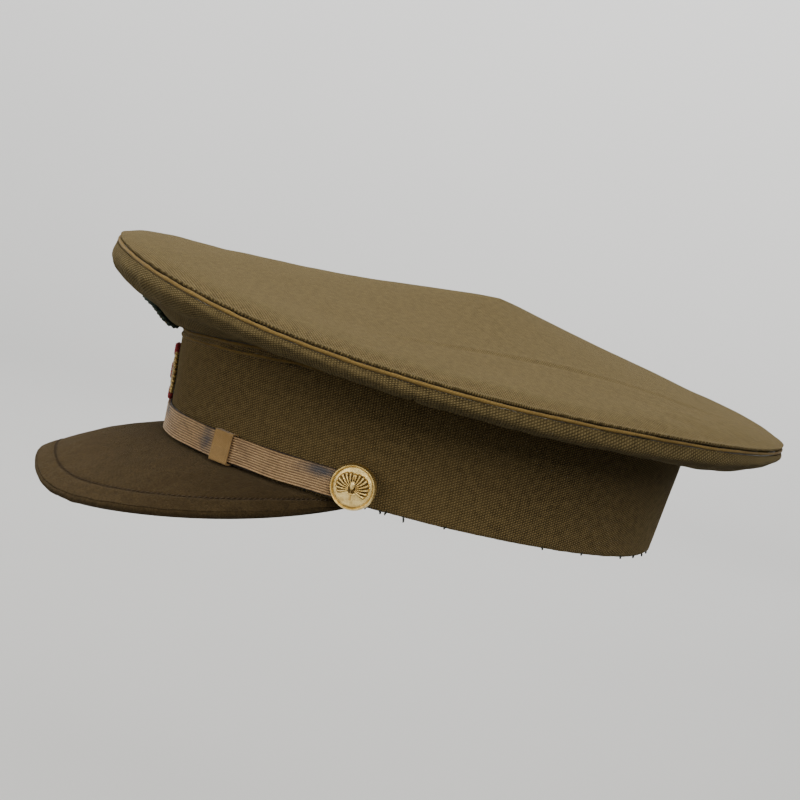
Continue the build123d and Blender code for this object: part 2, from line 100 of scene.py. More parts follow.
PEAK_REACH = 51.4
PEAK_EDGE_HEIGHT = -35.3
PEAK_CORNER_HEIGHT = -0.33
PEAK_ARCH = 10.8
PEAK_ARCH_ANGLE = 14.6
PEAK_HALF_ANGLE = 78.0
PEAK_ROOT_HEIGHT = -0.6
PEAK_THICKNESS = 3.6
PEAK_BORDER = 9.4

STRAP_WIDTH = 10.8
STRAP_HEIGHT = (4.9, 6.5, 6.5)
LACE_START = 3.32
STRAP_END = 79.8
STRAP_TUCK = 1.1
STRAP_TUCK_ANGLE = 14.0
STRAP_RIBS = 11
# angle, half length in degrees, height on the strap and half width of each rubbed patch
STRAP_WEAR = [(69.5, 4.5, 3.4, 2.8), (38.2, 2.0, 0.5, 6.0), (-66, 6, -2, 4), (-27, 3, 2, 3), (12, 3, 3.5, 2)]

KEEPER_ANGLE = 44.0
KEEPER_LENGTH = 9.0


# ---- shape of the cap, worked out for whole arrays of angles -------------------------------------
def around(theta, front, side, rear):
    """A value that changes smoothly from front to sides to rear."""
    angle = np.radians(theta)
    mean = (front + rear) / 4 + side / 2
    return mean + (front - rear) / 2 * np.cos(angle) + ((front + rear) / 4 - side / 2) * np.cos(2 * angle)


def reach(theta):
    angle = np.radians(theta)
    across = (CROWN_HALF_WIDTH - BAND_HALF_WIDTH) * np.sin(angle)
    along = CROWN_SETBACK - (CROWN_HALF_LENGTH - BAND_HALF_LENGTH) * np.cos(angle)
    return across, along


def spread(theta):
    return np.hypot(*reach(theta))


def place(theta, out, up):
    """Points of the sections, in millimetres. The arrays broadcast against each other."""
    theta, out, up = np.broadcast_arrays(theta, out, up)
    angle = np.radians(theta)
    across, along = reach(theta)
    width = np.hypot(across, along)
    x = BAND_HALF_WIDTH * np.sin(angle) + out * across / width
    y = -BAND_HALF_LENGTH * np.cos(angle) + out * along / width
    return np.stack([x, y, up], axis=-1)


def lean(up):
    return BAND_LEAN * up


def band_top(theta):
    return around(theta, *BAND_HEIGHT)


def welt_top(theta):
    return band_top(theta) + around(theta, *WELT_GAP)


def seam_height(theta):
    angle = np.radians(theta)
    return around(theta, *SEAM_HEIGHT) + SEAM_SWEEP * (np.cos(3 * angle) - np.cos(angle))


def smooth_curve(points, shares):
    """A smooth curve through a few (share, value) points."""
    places, values = np.array(points, float).T
    slopes = np.gradient(values, places)
    index = np.clip(np.searchsorted(places, shares) - 1, 0, len(places) - 2)
    step = places[index + 1] - places[index]
    t = np.clip((shares - places[index]) / step, 0, 1)
    return (
        (2 * t**3 - 3 * t**2 + 1) * values[index]
        + (t**3 - 2 * t**2 + t) * step * slopes[index]
        + (3 * t**2 - 2 * t**3) * values[index + 1]
        + (t**3 - t**2) * step * slopes[index + 1]
    )


def ripple(points, size, seed, count=9):
    """Smooth noise from -1 to 1 with features of about `size` millimetres."""
    rng = np.random.default_rng(seed)
    total = 0
    for _ in range(count):
        direction = rng.normal(size=3)
        direction *= rng.uniform(0.7, 1.5) / (np.linalg.norm(direction) * size)
        total = total + np.sin(2 * np.pi * (points @ direction) + rng.uniform(0, 2 * np.pi))
    return total / count**0.5 / 1.6


def bump(value, centre, width):
    return np.exp(-(((value - centre) / width) ** 2))


# ---- meshes -------------------------------------------------------------------------------------
def make_object(name, vertices, faces, material, uvs=None):
    mesh = bpy.data.meshes.new(name)
    mesh.from_pydata([tuple(v) for v in np.asarray(vertices) * MM], [], faces)
    mesh.update()
    if uvs is not None:
        layer = mesh.uv_layers.new(name="UVMap")
        corner = np.empty(len(mesh.loops), dtype=np.int64)
        mesh.loops.foreach_get("vertex_index", corner)
        layer.data.foreach_set("uv", (np.asarray(uvs) * MM)[corner].ravel())
    mesh.polygons.foreach_set("use_smooth", [True] * len(mesh.polygons))
    mesh.materials.append(material)
    obj = bpy.data.objects.new(name, mesh)
    bpy.context.scene.collection.objects.link(obj)
    return obj


def belongs(obj, slot, *nodes, body="cap"):
    """The piece moves with `body` and stands for the CAD nodes; `slot` is not used."""
    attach(obj, body)
    if nodes:
        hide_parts(*nodes)


def set_attribute(obj, name, values):
    """Keeps one number a vertex for the material to read."""
    layer = obj.data.attributes.new(name, "FLOAT", "POINT")
    layer.data.foreach_set("value", np.ascontiguousarray(values, dtype=np.float32).ravel())


def grid_faces(rows, columns, wrap_rows=False, wrap_columns=False, start=0):
    faces = []
    for row in range(rows if wrap_rows else rows - 1):
        below = (row + 1) % rows
        for column in range(columns if wrap_columns else columns - 1):
            right = (column + 1) % columns
            faces.append(
                (
                    start + row * columns + column,
                    start + row * columns + right,
                    start + below * columns + right,
                    start + below * columns + column,
                )
            )
    return faces


def grid_uvs(points):
    """Texture places in millimetres: along the rows first, across them second."""
    along = np.linalg.norm(np.diff(points, axis=1), axis=2).mean(axis=0)
    across = np.linalg.norm(np.diff(points, axis=0), axis=2).mean(axis=1)
    u = np.concatenate([[0], np.cumsum(along)])
    v = np.concatenate([[0], np.cumsum(across)])
    return np.stack(np.broadcast_arrays(u[None, :], v[:, None]), axis=-1).reshape(-1, 2)


def strip_object(name, points, material, wrap_rows=True, wrap_columns=False, uvs=None):
    """A swept piece: `points` has one row for each point of the section, one column for each station."""
    rows, columns = points.shape[:2]
    faces = grid_faces(rows, columns, wrap_rows, wrap_columns)
    if wrap_rows and not wrap_columns:
        faces.append(tuple(row * columns for row in range(rows)))
        faces.append(tuple(row * columns + columns - 1 for row in reversed(range(rows))))
    if uvs is None:
        uvs = grid_uvs(points)
    obj = make_object(name, points.reshape(-1, 3), faces, material, uvs)
    fix_normals(obj)
    return obj


def fix_normals(obj):
    mesh = bmesh.new()
    mesh.from_mesh(obj.data)
    bmesh.ops.recalc_face_normals(mesh, faces=mesh.faces)
    mesh.to_mesh(obj.data)
    mesh.free()


def grid_normals(points, wrap_columns=False):
    """Unit normals of a grid of points."""
    if wrap_columns:
        padded = np.concatenate([points[:, -1:], points, points[:, :1]], axis=1)
        along = (padded[:, 2:] - padded[:, :-2]) / 2
    else:
        along = np.gradient(points, axis=1)
    across = np.gradient(points, axis=0)
    normal = np.cross(along, across)
    return normal / np.maximum(np.linalg.norm(normal, axis=-1, keepdims=True), 1e-9)


def sheet_object(name, points, thickness, material, wrap_columns=False):
    """A sheet with two faces and closed edges: the given face and one `thickness` behind it."""
    normals = grid_normals(points, wrap_columns)
    back = points - normals * thickness
    section = np.concatenate([points, back[::-1]], axis=0)
    uvs = grid_uvs(points).reshape(*points.shape[:2], 2)
    uvs = np.concatenate([uvs, uvs[::-1]], axis=0).reshape(-1, 2)
    return strip_object(name, section, material, wrap_rows=True, wrap_columns=wrap_columns, uvs=uvs)


def tube_object(name, centres, radius, material, sides=12, closed=False, jitter=0.0, seed=1):
    """A round cord along a row of points."""
    centres = np.asarray(centres, float)
    if closed:
        tangent = np.roll(centres, -1, axis=0) - np.roll(centres, 1, axis=0)
    else:
        tangent = np.gradient(centres, axis=0)
    tangent /= np.linalg.norm(tangent, axis=1, keepdims=True)
    side = np.cross(tangent, [0, 0, 1.0])
    side /= np.maximum(np.linalg.norm(side, axis=1, keepdims=True), 1e-9)
    rise = np.cross(side, tangent)
    turn = np.linspace(0, 2 * np.pi, sides, endpoint=False)[:, None, None]
    size = (radius * (1 + jitter * ripple(centres, 7.0, seed)))[None, :, None]
    points = centres[None] + size * (np.cos(turn) * side[None] + np.sin(turn) * rise[None])
    return strip_object(name, points, material, wrap_rows=True, wrap_columns=closed)


# ---- materials ----------------------------------------------------------------------------------
class Nodes:
    """Short calls for building one material's node tree."""

    def __init__(self, name):
        self.material = bpy.data.materials.new(name)
        self.material.use_nodes = True
        self.tree = self.material.node_tree
        self.shader = self.tree.nodes["Principled BSDF"]

    def add(self, kind, **settings):
        node = self.tree.nodes.new(kind)
        for key, value in settings.items():
            setattr(node, key, value)
        return node

    def link(self, source, target):
        self.tree.links.new(source, target)

    def uv(self):
        return self.add("ShaderNodeTexCoord").outputs["UV"]

    def object_place(self):
        return self.add("ShaderNodeTexCoord").outputs["Object"]

    def noise(self, vector, size, detail=3.0, roughness=0.5, distortion=0.0):
        """Noise with features of about `size` metres."""
        node = self.add("ShaderNodeTexNoise")
        node.inputs["Scale"].default_value = 1 / size
        node.inputs["Detail"].default_value = detail
        node.inputs["Roughness"].default_value = roughness
        node.inputs["Distortion"].default_value = distortion
        self.link(vector, node.inputs["Vector"])
        return node.outputs["Fac"]

    def waves(self, vector, pitch, turn=0.0, distortion=0.0):
        """Even bands, one every `pitch` metres, across the direction `turn`."""
        turned = self.add("ShaderNodeVectorRotate", rotation_type="Z_AXIS")
        turned.inputs["Angle"].default_value = np.radians(turn)
        self.link(vector, turned.inputs["Vector"])
        node = self.add("ShaderNodeTexWave", wave_type="BANDS", bands_direction="X", wave_profile="SIN")
        node.inputs["Scale"].default_value = 2 * np.pi / 20 / pitch
        node.inputs["Distortion"].default_value = distortion
        node.inputs["Detail"].default_value = 0
        self.link(turned.outputs["Vector"], node.inputs["Vector"])
        return node.outputs["Fac"]

    def math(self, operation, first, second):
        node = self.add("ShaderNodeMath", operation=operation)
        for socket, value in zip(node.inputs, (first, second)):
            if isinstance(value, (int, float)):
                socket.default_value = value
            else:
                self.link(value, socket)
        return node.outputs[0]

    def spread(self, value, low, high, new_low=0.0, new_high=1.0):
        node = self.add("ShaderNodeMapRange")
        limits = {"From Min": low, "From Max": high, "To Min": new_low, "To Max": new_high}
        for name, number in limits.items():
            node.inputs[name].default_value = number
        self.link(value, node.inputs["Value"])
        return node.outputs["Result"]

    def mix(self, factor, first, second):
        node = self.add("ShaderNodeMix", data_type="RGBA", clamp_factor=True)
        for socket, value in ((node.inputs[0], factor), (node.inputs[6], first), (node.inputs[7], second)):
            if isinstance(value, (int, float)):
                socket.default_value = value
            elif isinstance(value, tuple):
                socket.default_value = (*value, 1)
            else:
                self.link(value, socket)
        return node.outputs[2]

    def bump(self, height, distance):
        node = self.add("ShaderNodeBump")
        node.inputs["Distance"].default_value = distance
        node.inputs["Strength"].default_value = 1.0
        self.link(height, node.inputs["Height"])
        return node.outputs["Normal"]

    def set(self, **values):
        for name, value in values.items():
            socket = self.shader.inputs[name.replace("_", " ")]
            if isinstance(value, tuple):
                socket.default_value = (*value, 1)
            elif isinstance(value, (int, float)):
                socket.default_value = value
            else:
                self.link(value, socket)


def cloth(name, dark, light, worn, pitch=0.00092, relief=0.00022, turn=62.0):
    """Wool twill: slanting rows of raised yarns over a darker ground, with faded and dusty patches."""
    n = Nodes(name)
    uv = n.uv()
    solid = n.object_place()
    rib = n.waves(uv, pitch, turn, distortion=0.35)
    row = n.waves(uv, pitch * 1.1, turn - 68, distortion=0.35)
    yarn = n.math("MULTIPLY", n.spread(rib, 0.05, 0.8), n.spread(row, 0.05, 0.8, 0.12, 1.0))
    fibre = n.noise(solid, 0.0005, detail=3, roughness=0.7)
    slub = n.noise(uv, 0.0028, detail=3, roughness=0.6)
    fade = n.noise(solid, 0.05, detail=3, roughness=0.55, distortion=0.6)
    height = n.math("ADD", yarn, n.math("MULTIPLY", fibre, 0.7))
    tone = n.math("ADD", n.math("MULTIPLY", yarn, 0.75), n.math("MULTIPLY", fibre, 0.45))
    tone = n.math("ADD", tone, n.math("MULTIPLY", n.math("SUBTRACT", slub, 0.5), 0.7))
    colour = n.mix(n.spread(tone, 0.15, 1.0), dark, light)
    colour = n.mix(n.spread(fade, 0.38, 0.72, 0.0, 0.35), colour, worn)
    n.set(Base_Color=colour, Roughness=0.95, Normal=n.bump(height, relief))
    n.set(Sheen_Weight=0.35, Sheen_Roughness=0.4, Specular_IOR_Level=0.15)
    n.shader.inputs["Sheen Tint"].default_value = (0.66, 0.52, 0.27, 1)
    return n.material


def felt(name, dark, light, worn):
    """Milled wool: matted nap over a faint twill, with darker rubbed patches and painted shade along the seam
    groove.
    """
    n = Nodes(name)
    solid = n.object_place()
    fine = n.noise(solid, 0.0007, detail=4, roughness=0.8)
    clump = n.noise(solid, 0.0022, detail=5, roughness=0.75, distortion=1.2)
    patch = n.noise(solid, 0.02, detail=5, roughness=0.65, distortion=0.8)
    weave = n.waves(n.uv(), 0.0011, 58, distortion=1.2)
    tone = n.math("ADD", n.math("MULTIPLY", fine, 0.55), n.math("MULTIPLY", clump, 0.6))
    tone = n.math("ADD", tone, n.math("MULTIPLY", weave, 0.04))
    colour = n.mix(n.spread(tone, 0.42, 0.82), dark, light)
    colour = n.mix(n.spread(patch, 0.45, 0.66, 0.0, 0.65), colour, worn)
    # painted shade: the felt is darkened along the sunken seam groove between the cover and the border strip
    groove_shade = n.add("ShaderNodeAttribute", attribute_name="groove_shade").outputs["Fac"]
    colour = n.mix(n.math("MULTIPLY", groove_shade, 0.8), colour, (0.016, 0.009, 0.004))
    height = n.math("ADD", n.math("MULTIPLY", fine, 0.8), clump)
    n.set(Base_Color=colour, Roughness=0.96, Normal=n.bump(height, 0.0005))
    n.set(Sheen_Weight=0.22, Sheen_Roughness=0.5, Specular_IOR_Level=0.12)
    n.shader.inputs["Sheen Tint"].default_value = (0.6, 0.46, 0.28, 1)
    return n.material


def cord_cloth(name, dark, light, pitch=0.0009):
    """Piping: fine cloth pulled round a cord, so its weave runs slantwise."""
    n = Nodes(name)
    uv = n.uv()
    solid = n.object_place()
    twist = n.waves(uv, pitch, 40, distortion=1.0)
    fibre = n.noise(solid, 0.0006, detail=4, roughness=0.75)
    patch = n.noise(solid, 0.012, detail=4, roughness=0.6)
    tone = n.math("ADD", n.math("MULTIPLY", twist, 0.18), n.math("MULTIPLY", fibre, 0.7))
    colour = n.mix(n.spread(tone, 0.2, 0.7), dark, light)
    colour = n.mix(n.spread(patch, 0.42, 0.7, 0.0, 0.7), colour, dark)
    n.set(Base_Color=colour, Roughness=0.93, Normal=n.bump(tone, 0.00016))
    n.set(Sheen_Weight=0.2, Sheen_Roughness=0.4, Specular_IOR_Level=0.15)
    return n.material


def lace_material():
    """Metal-thread lace: raised lengthwise ribs with painted shade in the gaps between them, and bluish-grey
    rubbed patches.
    """
    n = Nodes("strap_lace")
    uv = n.uv()
    solid = n.object_place()
    rib = n.add("ShaderNodeAttribute", attribute_name="rib").outputs["Fac"]
    worn = n.add("ShaderNodeAttribute", attribute_name="worn").outputs["Fac"]
    cross = n.waves(uv, 0.0008, 0, distortion=0.6)
    patch = n.noise(solid, 0.007, detail=4, roughness=0.65, distortion=0.7)
    grime = n.noise(solid, 0.0012, detail=4, roughness=0.7)
    colour = n.mix(n.spread(grime, 0.3, 0.7), (0.42, 0.255, 0.12), (0.74, 0.50, 0.26))
    colour = n.mix(n.spread(patch, 0.5, 0.7, 0.0, 0.55), colour, (0.27, 0.165, 0.085))
    colour = n.mix(n.math("MULTIPLY", cross, 0.22), colour, (0.14, 0.08, 0.035))
    # painted shade: the gaps between the raised ribs are darkened
    colour = n.mix(n.spread(rib, 0.1, 0.7, 0.78, 0.0), colour, (0.085, 0.045, 0.018))
    tarnish = n.math("MULTIPLY", worn, n.spread(patch, 0.35, 0.6, 0.55, 1.0))
    colour = n.mix(tarnish, colour, (0.075, 0.072, 0.078))
    height = n.math("ADD", n.math("MULTIPLY", cross, 0.4), n.math("MULTIPLY", grime, 0.8))
    n.set(Base_Color=colour, Metallic=0.2, Roughness=n.spread(grime, 0.3, 0.7, 0.45, 0.7))
    n.set(Normal=n.bump(height, 0.0001))
    return n.material


def brass(name, relief=False):
    """Old brass: bright where it is handled, brown in its hollows."""
    n = Nodes(name)
    solid = n.object_place()
    tarnish = n.noise(solid, 0.0025, detail=5, roughness=0.65, distortion=0.4)
    speck = n.noise(solid, 0.0006, detail=3, roughness=0.7)
    bright, dull, dark = (0.83, 0.635, 0.265), (0.56, 0.39, 0.135), (0.10, 0.055, 0.014)
    colour = n.mix(n.spread(tarnish, 0.42, 0.7), bright, dull)
    colour = n.mix(n.spread(speck, 0.62, 0.74, 0.0, 0.5), colour, dark)
    if relief:
        lift = n.add("ShaderNodeAttribute", attribute_name="relief").outputs["Fac"]
        colour = n.mix(n.spread(lift, 0.0, 0.75, 0.97, 0.0), colour, dark)
    n.set(Base_Color=colour, Metallic=1.0, Roughness=n.spread(tarnish, 0.3, 0.7, 0.3, 0.5))
    n.set(Normal=n.bump(speck, 0.00005))
    return n.material


def embroidery(name, dark, light, metallic=0.0, roughness=0.6):
    """Close rows of laid thread."""
    n = Nodes(name)
    uv = n.uv()
    solid = n.object_place()
    strands = n.waves(uv, 0.0007, 20, distortion=1.5)
    grain = n.noise(solid, 0.0008, detail=3, roughness=0.7)
    tone = n.math("ADD", n.math("MULTIPLY", strands, 0.6), n.math("MULTIPLY", grain, 0.4))
    colour = n.mix(n.spread(tone, 0.2, 0.8), dark, light)
    n.set(Base_Color=colour, Metallic=metallic, Roughness=roughness, Normal=n.bump(tone, 0.0003))
    return n.material


def leather(name, dark, light, roughness=0.5):
    n = Nodes(name)
    solid = n.object_place()
    pore = n.add("ShaderNodeTexVoronoi", feature="DISTANCE_TO_EDGE")
    pore.inputs["Scale"].default_value = 900
    n.link(solid, pore.inputs["Vector"])
    stain = n.noise(solid, 0.02, detail=4, roughness=0.6)
    fine = n.noise(solid, 0.001, detail=3)
    colour = n.mix(n.spread(stain, 0.35, 0.7), dark, light)
    colour = n.mix(n.spread(pore.outputs["Distance"], 0.0, 0.12, 0.35, 0.0), colour, dark)
    height = n.math("ADD", n.spread(pore.outputs["Distance"], 0, 0.2), n.math("MULTIPLY", fine, 0.4))
    n.set(Base_Color=colour, Roughness=n.spread(stain, 0.3, 0.7, roughness, roughness + 0.2))
    n.set(Normal=n.bump(height, 0.00012))
    return n.material


def plain_weave(name, dark, light, sheen=0.1, roughness=0.8, pitch=0.0007):
    n = Nodes(name)
    uv = n.uv()
    solid = n.object_place()
    weave = n.math("MULTIPLY", n.waves(uv, pitch, 0), n.waves(uv, pitch, 90))
    patch = n.noise(solid, 0.03, detail=3)
    fibre = n.noise(solid, 0.0008, detail=3)
    colour = n.mix(n.spread(n.math("ADD", weave, fibre), 0.4, 1.1), dark, light)
    colour = n.mix(n.spread(patch, 0.4, 0.7, 0.0, 0.4), colour, dark)
    n.set(Base_Color=colour, Roughness=roughness, Normal=n.bump(weave, 0.00012), Sheen_Weight=sheen)
    return n.material


def steel(name):
    n = Nodes(name)
    solid = n.object_place()
    streak = n.noise(solid, 0.002, detail=4)
    colour = n.mix(streak, (0.32, 0.31, 0.30), (0.58, 0.57, 0.55))
    n.set(Base_Color=colour, Metallic=1.0, Roughness=n.spread(streak, 0.3, 0.7, 0.28, 0.5))
    return n.material


def board(name):
    n = Nodes(name)
    solid = n.object_place()
    fibre = n.noise(solid, 0.0012, detail=5, roughness=0.7)
    colour = n.mix(n.spread(fibre, 0.3, 0.7), (0.27, 0.20, 0.12), (0.42, 0.33, 0.21))
    n.set(Base_Color=colour, Roughness=0.85, Normal=n.bump(fibre, 0.0001))
    return n.material


CROWN_CLOTH = cloth("crown_cloth", (0.042, 0.030, 0.0105), (0.238, 0.174, 0.070), (0.128, 0.093, 0.038))
# painted light: the band's wool is given a lighter colour than the crown's, to make up for the weaker light
# that reaches the band under the crown
LIGHTENED_BAND_CLOTH = cloth("band_cloth", (0.050, 0.033, 0.011), (0.330, 0.230, 0.092), (0.170, 0.116, 0.046))
PEAK_CLOTH = felt("peak_cloth", (0.022, 0.0138, 0.0052), (0.098, 0.064, 0.0255), (0.042, 0.0262, 0.0098))
PIPING = cord_cloth("piping", (0.125, 0.077, 0.020), (0.330, 0.213, 0.060))
KEEPER_CLOTH = cord_cloth("keeper", (0.32, 0.190, 0.070), (0.58, 0.365, 0.150), pitch=0.0006)
LACE_METAL = lace_material()
BRASS = brass("button_brass", relief=True)
PLAIN_BRASS = brass("plain_brass")
GOLD_THREAD = embroidery("badge_gold", (0.14, 0.085, 0.02), (0.62, 0.42, 0.13), metallic=0.5, roughness=0.4)
RED_THREAD = embroidery("badge_red", (0.13, 0.006, 0.008), (0.46, 0.025, 0.035))
DARK_THREAD = embroidery("badge_felt", (0.006, 0.008, 0.006), (0.035, 0.042, 0.030), roughness=0.85)
GREEN_THREAD = embroidery("badge_green", (0.004, 0.010, 0.005), (0.020, 0.044, 0.020))
PEAK_THREAD = embroidery("peak_thread", (0.030, 0.018, 0.007), (0.150, 0.095, 0.042), roughness=0.8)
SWEATBAND = leather("sweatband_leather", (0.085, 0.040, 0.018), (0.21, 0.115, 0.055), roughness=0.42)
STRAP_LEATHER = leather("strap_leather", (0.010, 0.007, 0.005), (0.035, 0.022, 0.014), roughness=0.45)
LINING = plain_weave("lining", (0.13, 0.105, 0.062), (0.24, 0.195, 0.12), sheen=0.3, roughness=0.55)
PEAK_LINING = plain_weave("peak_lining", (0.030, 0.024, 0.012), (0.085, 0.066, 0.034), roughness=0.8)
INTERLINING = plain_weave("interlining", (0.45, 0.42, 0.35), (0.70, 0.67, 0.58))
STEEL = steel("spring_wire")
BOARD = board("stiffener")
FERRULE = brass("ferrule_brass")


# ---- crown --------------------------------------------------------------------------------------
# How the crown's height falls from the apex (1) to the seam (0): the cloth hangs straight off the
# head's highest point and is full just inside the seam.
FRONT_FALL = [(0, 1), (0.05, 0.96), (0.17, 0.80), (0.33, 0.585), (0.49, 0.43), (0.65, 0.33)]
FRONT_FALL += [(0.81, 0.26), (0.89, 0.255), (0.93, 0.24), (0.97, 0.175), (1, 0.045)]
REAR_FALL = [(0, 1), (0.04, 0.97), (0.14, 0.875), (0.36, 0.665), (0.57, 0.475), (0.78, 0.30)]
REAR_FALL += [(0.88, 0.23), (0.94, 0.155), (0.985, 0.06), (1, 0.022)]
SIDE_FALL = [(0, 1), (0.04, 0.965), (0.14, 0.86), (0.36, 0.635), (0.57, 0.44), (0.78, 0.265)]
SIDE_FALL += [(0.88, 0.19), (0.94, 0.135), (0.985, 0.055), (1, 0.022)]


def crown_surface(theta, share):
    """Top face of the crown, on lines from the apex to the seam."""
    angle = np.radians(theta)
    edge_x = CROWN_HALF_WIDTH * np.sin(angle)
    edge_y = CROWN_SETBACK - CROWN_HALF_LENGTH * np.cos(angle)
    x = share * edge_x
    y = APEX_BACK + share * (edge_y - APEX_BACK)
    facing = np.cos(angle)
    front = smooth_curve(FRONT_FALL, share)
    rear = smooth_curve(REAR_FALL, share)
    side = smooth_curve(SIDE_FALL, share)
    fall = np.where(facing > 0, front, rear) * facing**2 + side * (1 - facing**2)
    seam = seam_height(theta)
    up = seam + (APEX_HEIGHT - seam) * fall
    return np.stack(np.broadcast_arrays(x, y, up), axis=-1)


def crown_top():
    theta = np.linspace(0, 360, 540, endpoint=False)[None, :]
    share = (1 - (1 - np.linspace(0, 1, 110)) ** 1.35)[:, None]
    share = np.maximum(share, 0.002) * 0.9985
    points = crown_surface(theta, share)
    taut = np.clip(share * 1.4, 0, 1) * np.clip((1 - share) * 14, 0, 1)
    points[..., 2] += taut * (0.4 * ripple(points, 75, 3) + 0.16 * ripple(points, 22, 4))
    # the old fold across the wearer's left, and shallow dents behind it
    fold = points @ np.array([0.955, 0.295, 0.0])
    reach_of_fold = bump(points[..., 1], 45, 60) * (share < 0.97)
    points[..., 2] += reach_of_fold * (0.4 * bump(fold, 74, 1.5) - 0.4 * bump(fold, 77.5, 1.8))
    creases = ripple(points * [1.0, 0.16, 1.0], 9, 8)
    dents = bump(points[..., 0], 78, 26) * bump(points[..., 1], 98, 24)
    points[..., 2] -= dents * (0.5 * np.maximum(0, ripple(points, 24, 8)) + 0.4 * np.maximum(0, creases))
    # the seam pulls small puckers in the edge
    edge = np.clip((share - 0.93) / 0.06, 0, 1)
    points[..., 2] += edge * 0.07 * ripple(points, 9, 5)
    points[..., 2] += 0.3 * np.clip((share - 0.985) / 0.0135, 0, 1)
    obj = sheet_object("crown_top_cloth", points, CLOTH, CROWN_CLOTH, wrap_columns=True)
    # flat weave: the warp runs front to back over the whole top
    layer = obj.data.uv_layers[0]
    corner = np.empty(len(obj.data.loops), dtype=np.int64)
    obj.data.loops.foreach_get("vertex_index", corner)
    places = np.empty(len(obj.data.vertices) * 3)
    obj.data.vertices.foreach_get("co", places)
    layer.data.foreach_set("uv", places.reshape(-1, 3)[corner, :2].ravel())
    belongs(obj, "crown_cloth", "crown_top")
    return obj


def interlining():
    """Stiff net under the crown's top, clear of the cloth's inner face."""
    theta = np.linspace(0, 360, 240, endpoint=False)[None, :]
    share = np.linspace(0.004, 0.93, 60)[:, None]
    points = crown_surface(theta, share) - np.array([0, 0, 2.1])
    obj = sheet_object("crown_interlining_net", points, 0.5, INTERLINING, wrap_columns=True)
    belongs(obj, "interlining", "crown_interlining")


def quarter_profile(theta, share):
    """Outer face of the quarters, from the upper band piping out and up to the crown seam."""
    start = lean(band_top(theta)) + 0.3
    width = spread(theta)
    knots = [
        (start, welt_top(theta) + 1.0),
        (start + 3.2, around(theta, 42.6, 53.6, 41.0)),
        (0.45 * width, around(theta, 49.4, 51.0, 41.6)),
        (0.78 * width, around(theta, 55.0, 49.3, 47.4)),
        (0.93 * width, around(theta, 58.8, 49.0, 51.0)),
        (width + around(theta, 1.5, 0.9, 0.5), around(theta, 65.0, 52.0, 53.8)),
        (width + around(theta, 0.75, 0.1, 0.1), seam_height(theta) - 0.9),
    ]
    outs = np.array([np.broadcast_to(out, theta.shape) for out, up in knots])
    ups = np.array([np.broadcast_to(up, theta.shape) for out, up in knots])
    steps = np.hypot(np.diff(outs, axis=0), np.diff(ups, axis=0)).mean(axis=1)
    places = np.concatenate([[0], np.cumsum(steps)]) / steps.sum()
    slopes_out = np.gradient(outs, places, axis=0)
    slopes_up = np.gradient(ups, places, axis=0)
    index = np.clip(np.searchsorted(places, share, side="right") - 1, 0, len(places) - 2)
    step = places[index + 1] - places[index]
    t = (share - places[index]) / step
    basis = (2 * t**3 - 3 * t**2 + 1, (t**3 - 2 * t**2 + t) * step, 3 * t**2 - 2 * t**3, (t**3 - t**2) * step)

    def curve(values, slopes):
        return (
            basis[0][:, None] * values[index]
            + basis[1][:, None] * slopes[index]
            + basis[2][:, None] * values[index + 1]
            + basis[3][:, None] * slopes[index + 1]
        )

    return curve(outs, slopes_out), curve(ups, slopes_up)


def quarter(name, start, end):
    theta = np.linspace(start, end, int(abs(end - start) * 3.4))
    share = np.linspace(0, 1, 56)
    out, up = quarter_profile(theta, share)
    points = place(theta[None, :], out, up)
    normals = grid_normals(points)
    near_seam = np.minimum(theta - start, end - theta)[None, :]
    rim = np.clip((share - 0.55) / 0.3, 0, 1)[:, None]
    under = np.sin(np.pi * np.clip(share / 0.75, 0, 1))[:, None]
    move = 0.38 * rim * ripple(points, 16, 11) + 0.16 * rim * ripple(points, 6, 12)
    move = move + 0.8 * under * ripple(points, 45, 13)
    # the cloth is turned in at the seams between quarters
    move = move - 0.45 * np.exp(-((near_seam / 0.25) ** 2)) + 0.12 * np.exp(-(((near_seam - 1.2) / 0.8) ** 2))
    move = move * np.clip(share * 12, 0, 1)[:, None] * np.clip((1 - share) * 9, 0.25, 1)[:, None]
    outward = np.sign((normals * (points - [0, 0, 70])).sum(-1, keepdims=True).mean())
    points = points + normals * outward * move[..., None]
    if outward < 0:
        points = points[::-1]
    obj = sheet_object(f"{name}_cloth", points, CLOTH, CROWN_CLOTH)
    belongs(obj, "crown_cloth", name)


def piping(name, node, out, up, radius, sides, jitter, seed):
    """One closed ring of piping on the cap."""
    centres = place(np.linspace(0, 360, 720, endpoint=False), out, up)
    obj = tube_object(name, centres, radius, PIPING, sides=sides, closed=True, jitter=jitter, seed=seed)
    belongs(obj, "piping", node)


def pipings():
    theta = np.linspace(0, 360, 720, endpoint=False)
    foot = place(theta, 0, 0)
    wander = ripple(foot, 14, 21)
    out = spread(theta) + 0.1 * wander - around(theta, 0, 0, 0.3)
    up = seam_height(theta) + 0.2 * wander
    thick = around(theta, 0.85, 0.82, 0.55)
    piping("crown_seam_piping", "crown_piping", out, up, thick, 14, 0.12, 22)
    out, up = lean(band_top(theta)), band_top(theta) + 0.3 * ripple(foot, 20, 23)
    piping("band_lower_piping", "band_piping_lower", out - 0.2, up, 0.7, 12, 0.14, 24)
    up = welt_top(theta) + 0.35 * ripple(foot, 26, 25)
    piping("band_upper_piping", "band_piping_upper", out, up, 0.7, 12, 0.14, 26)


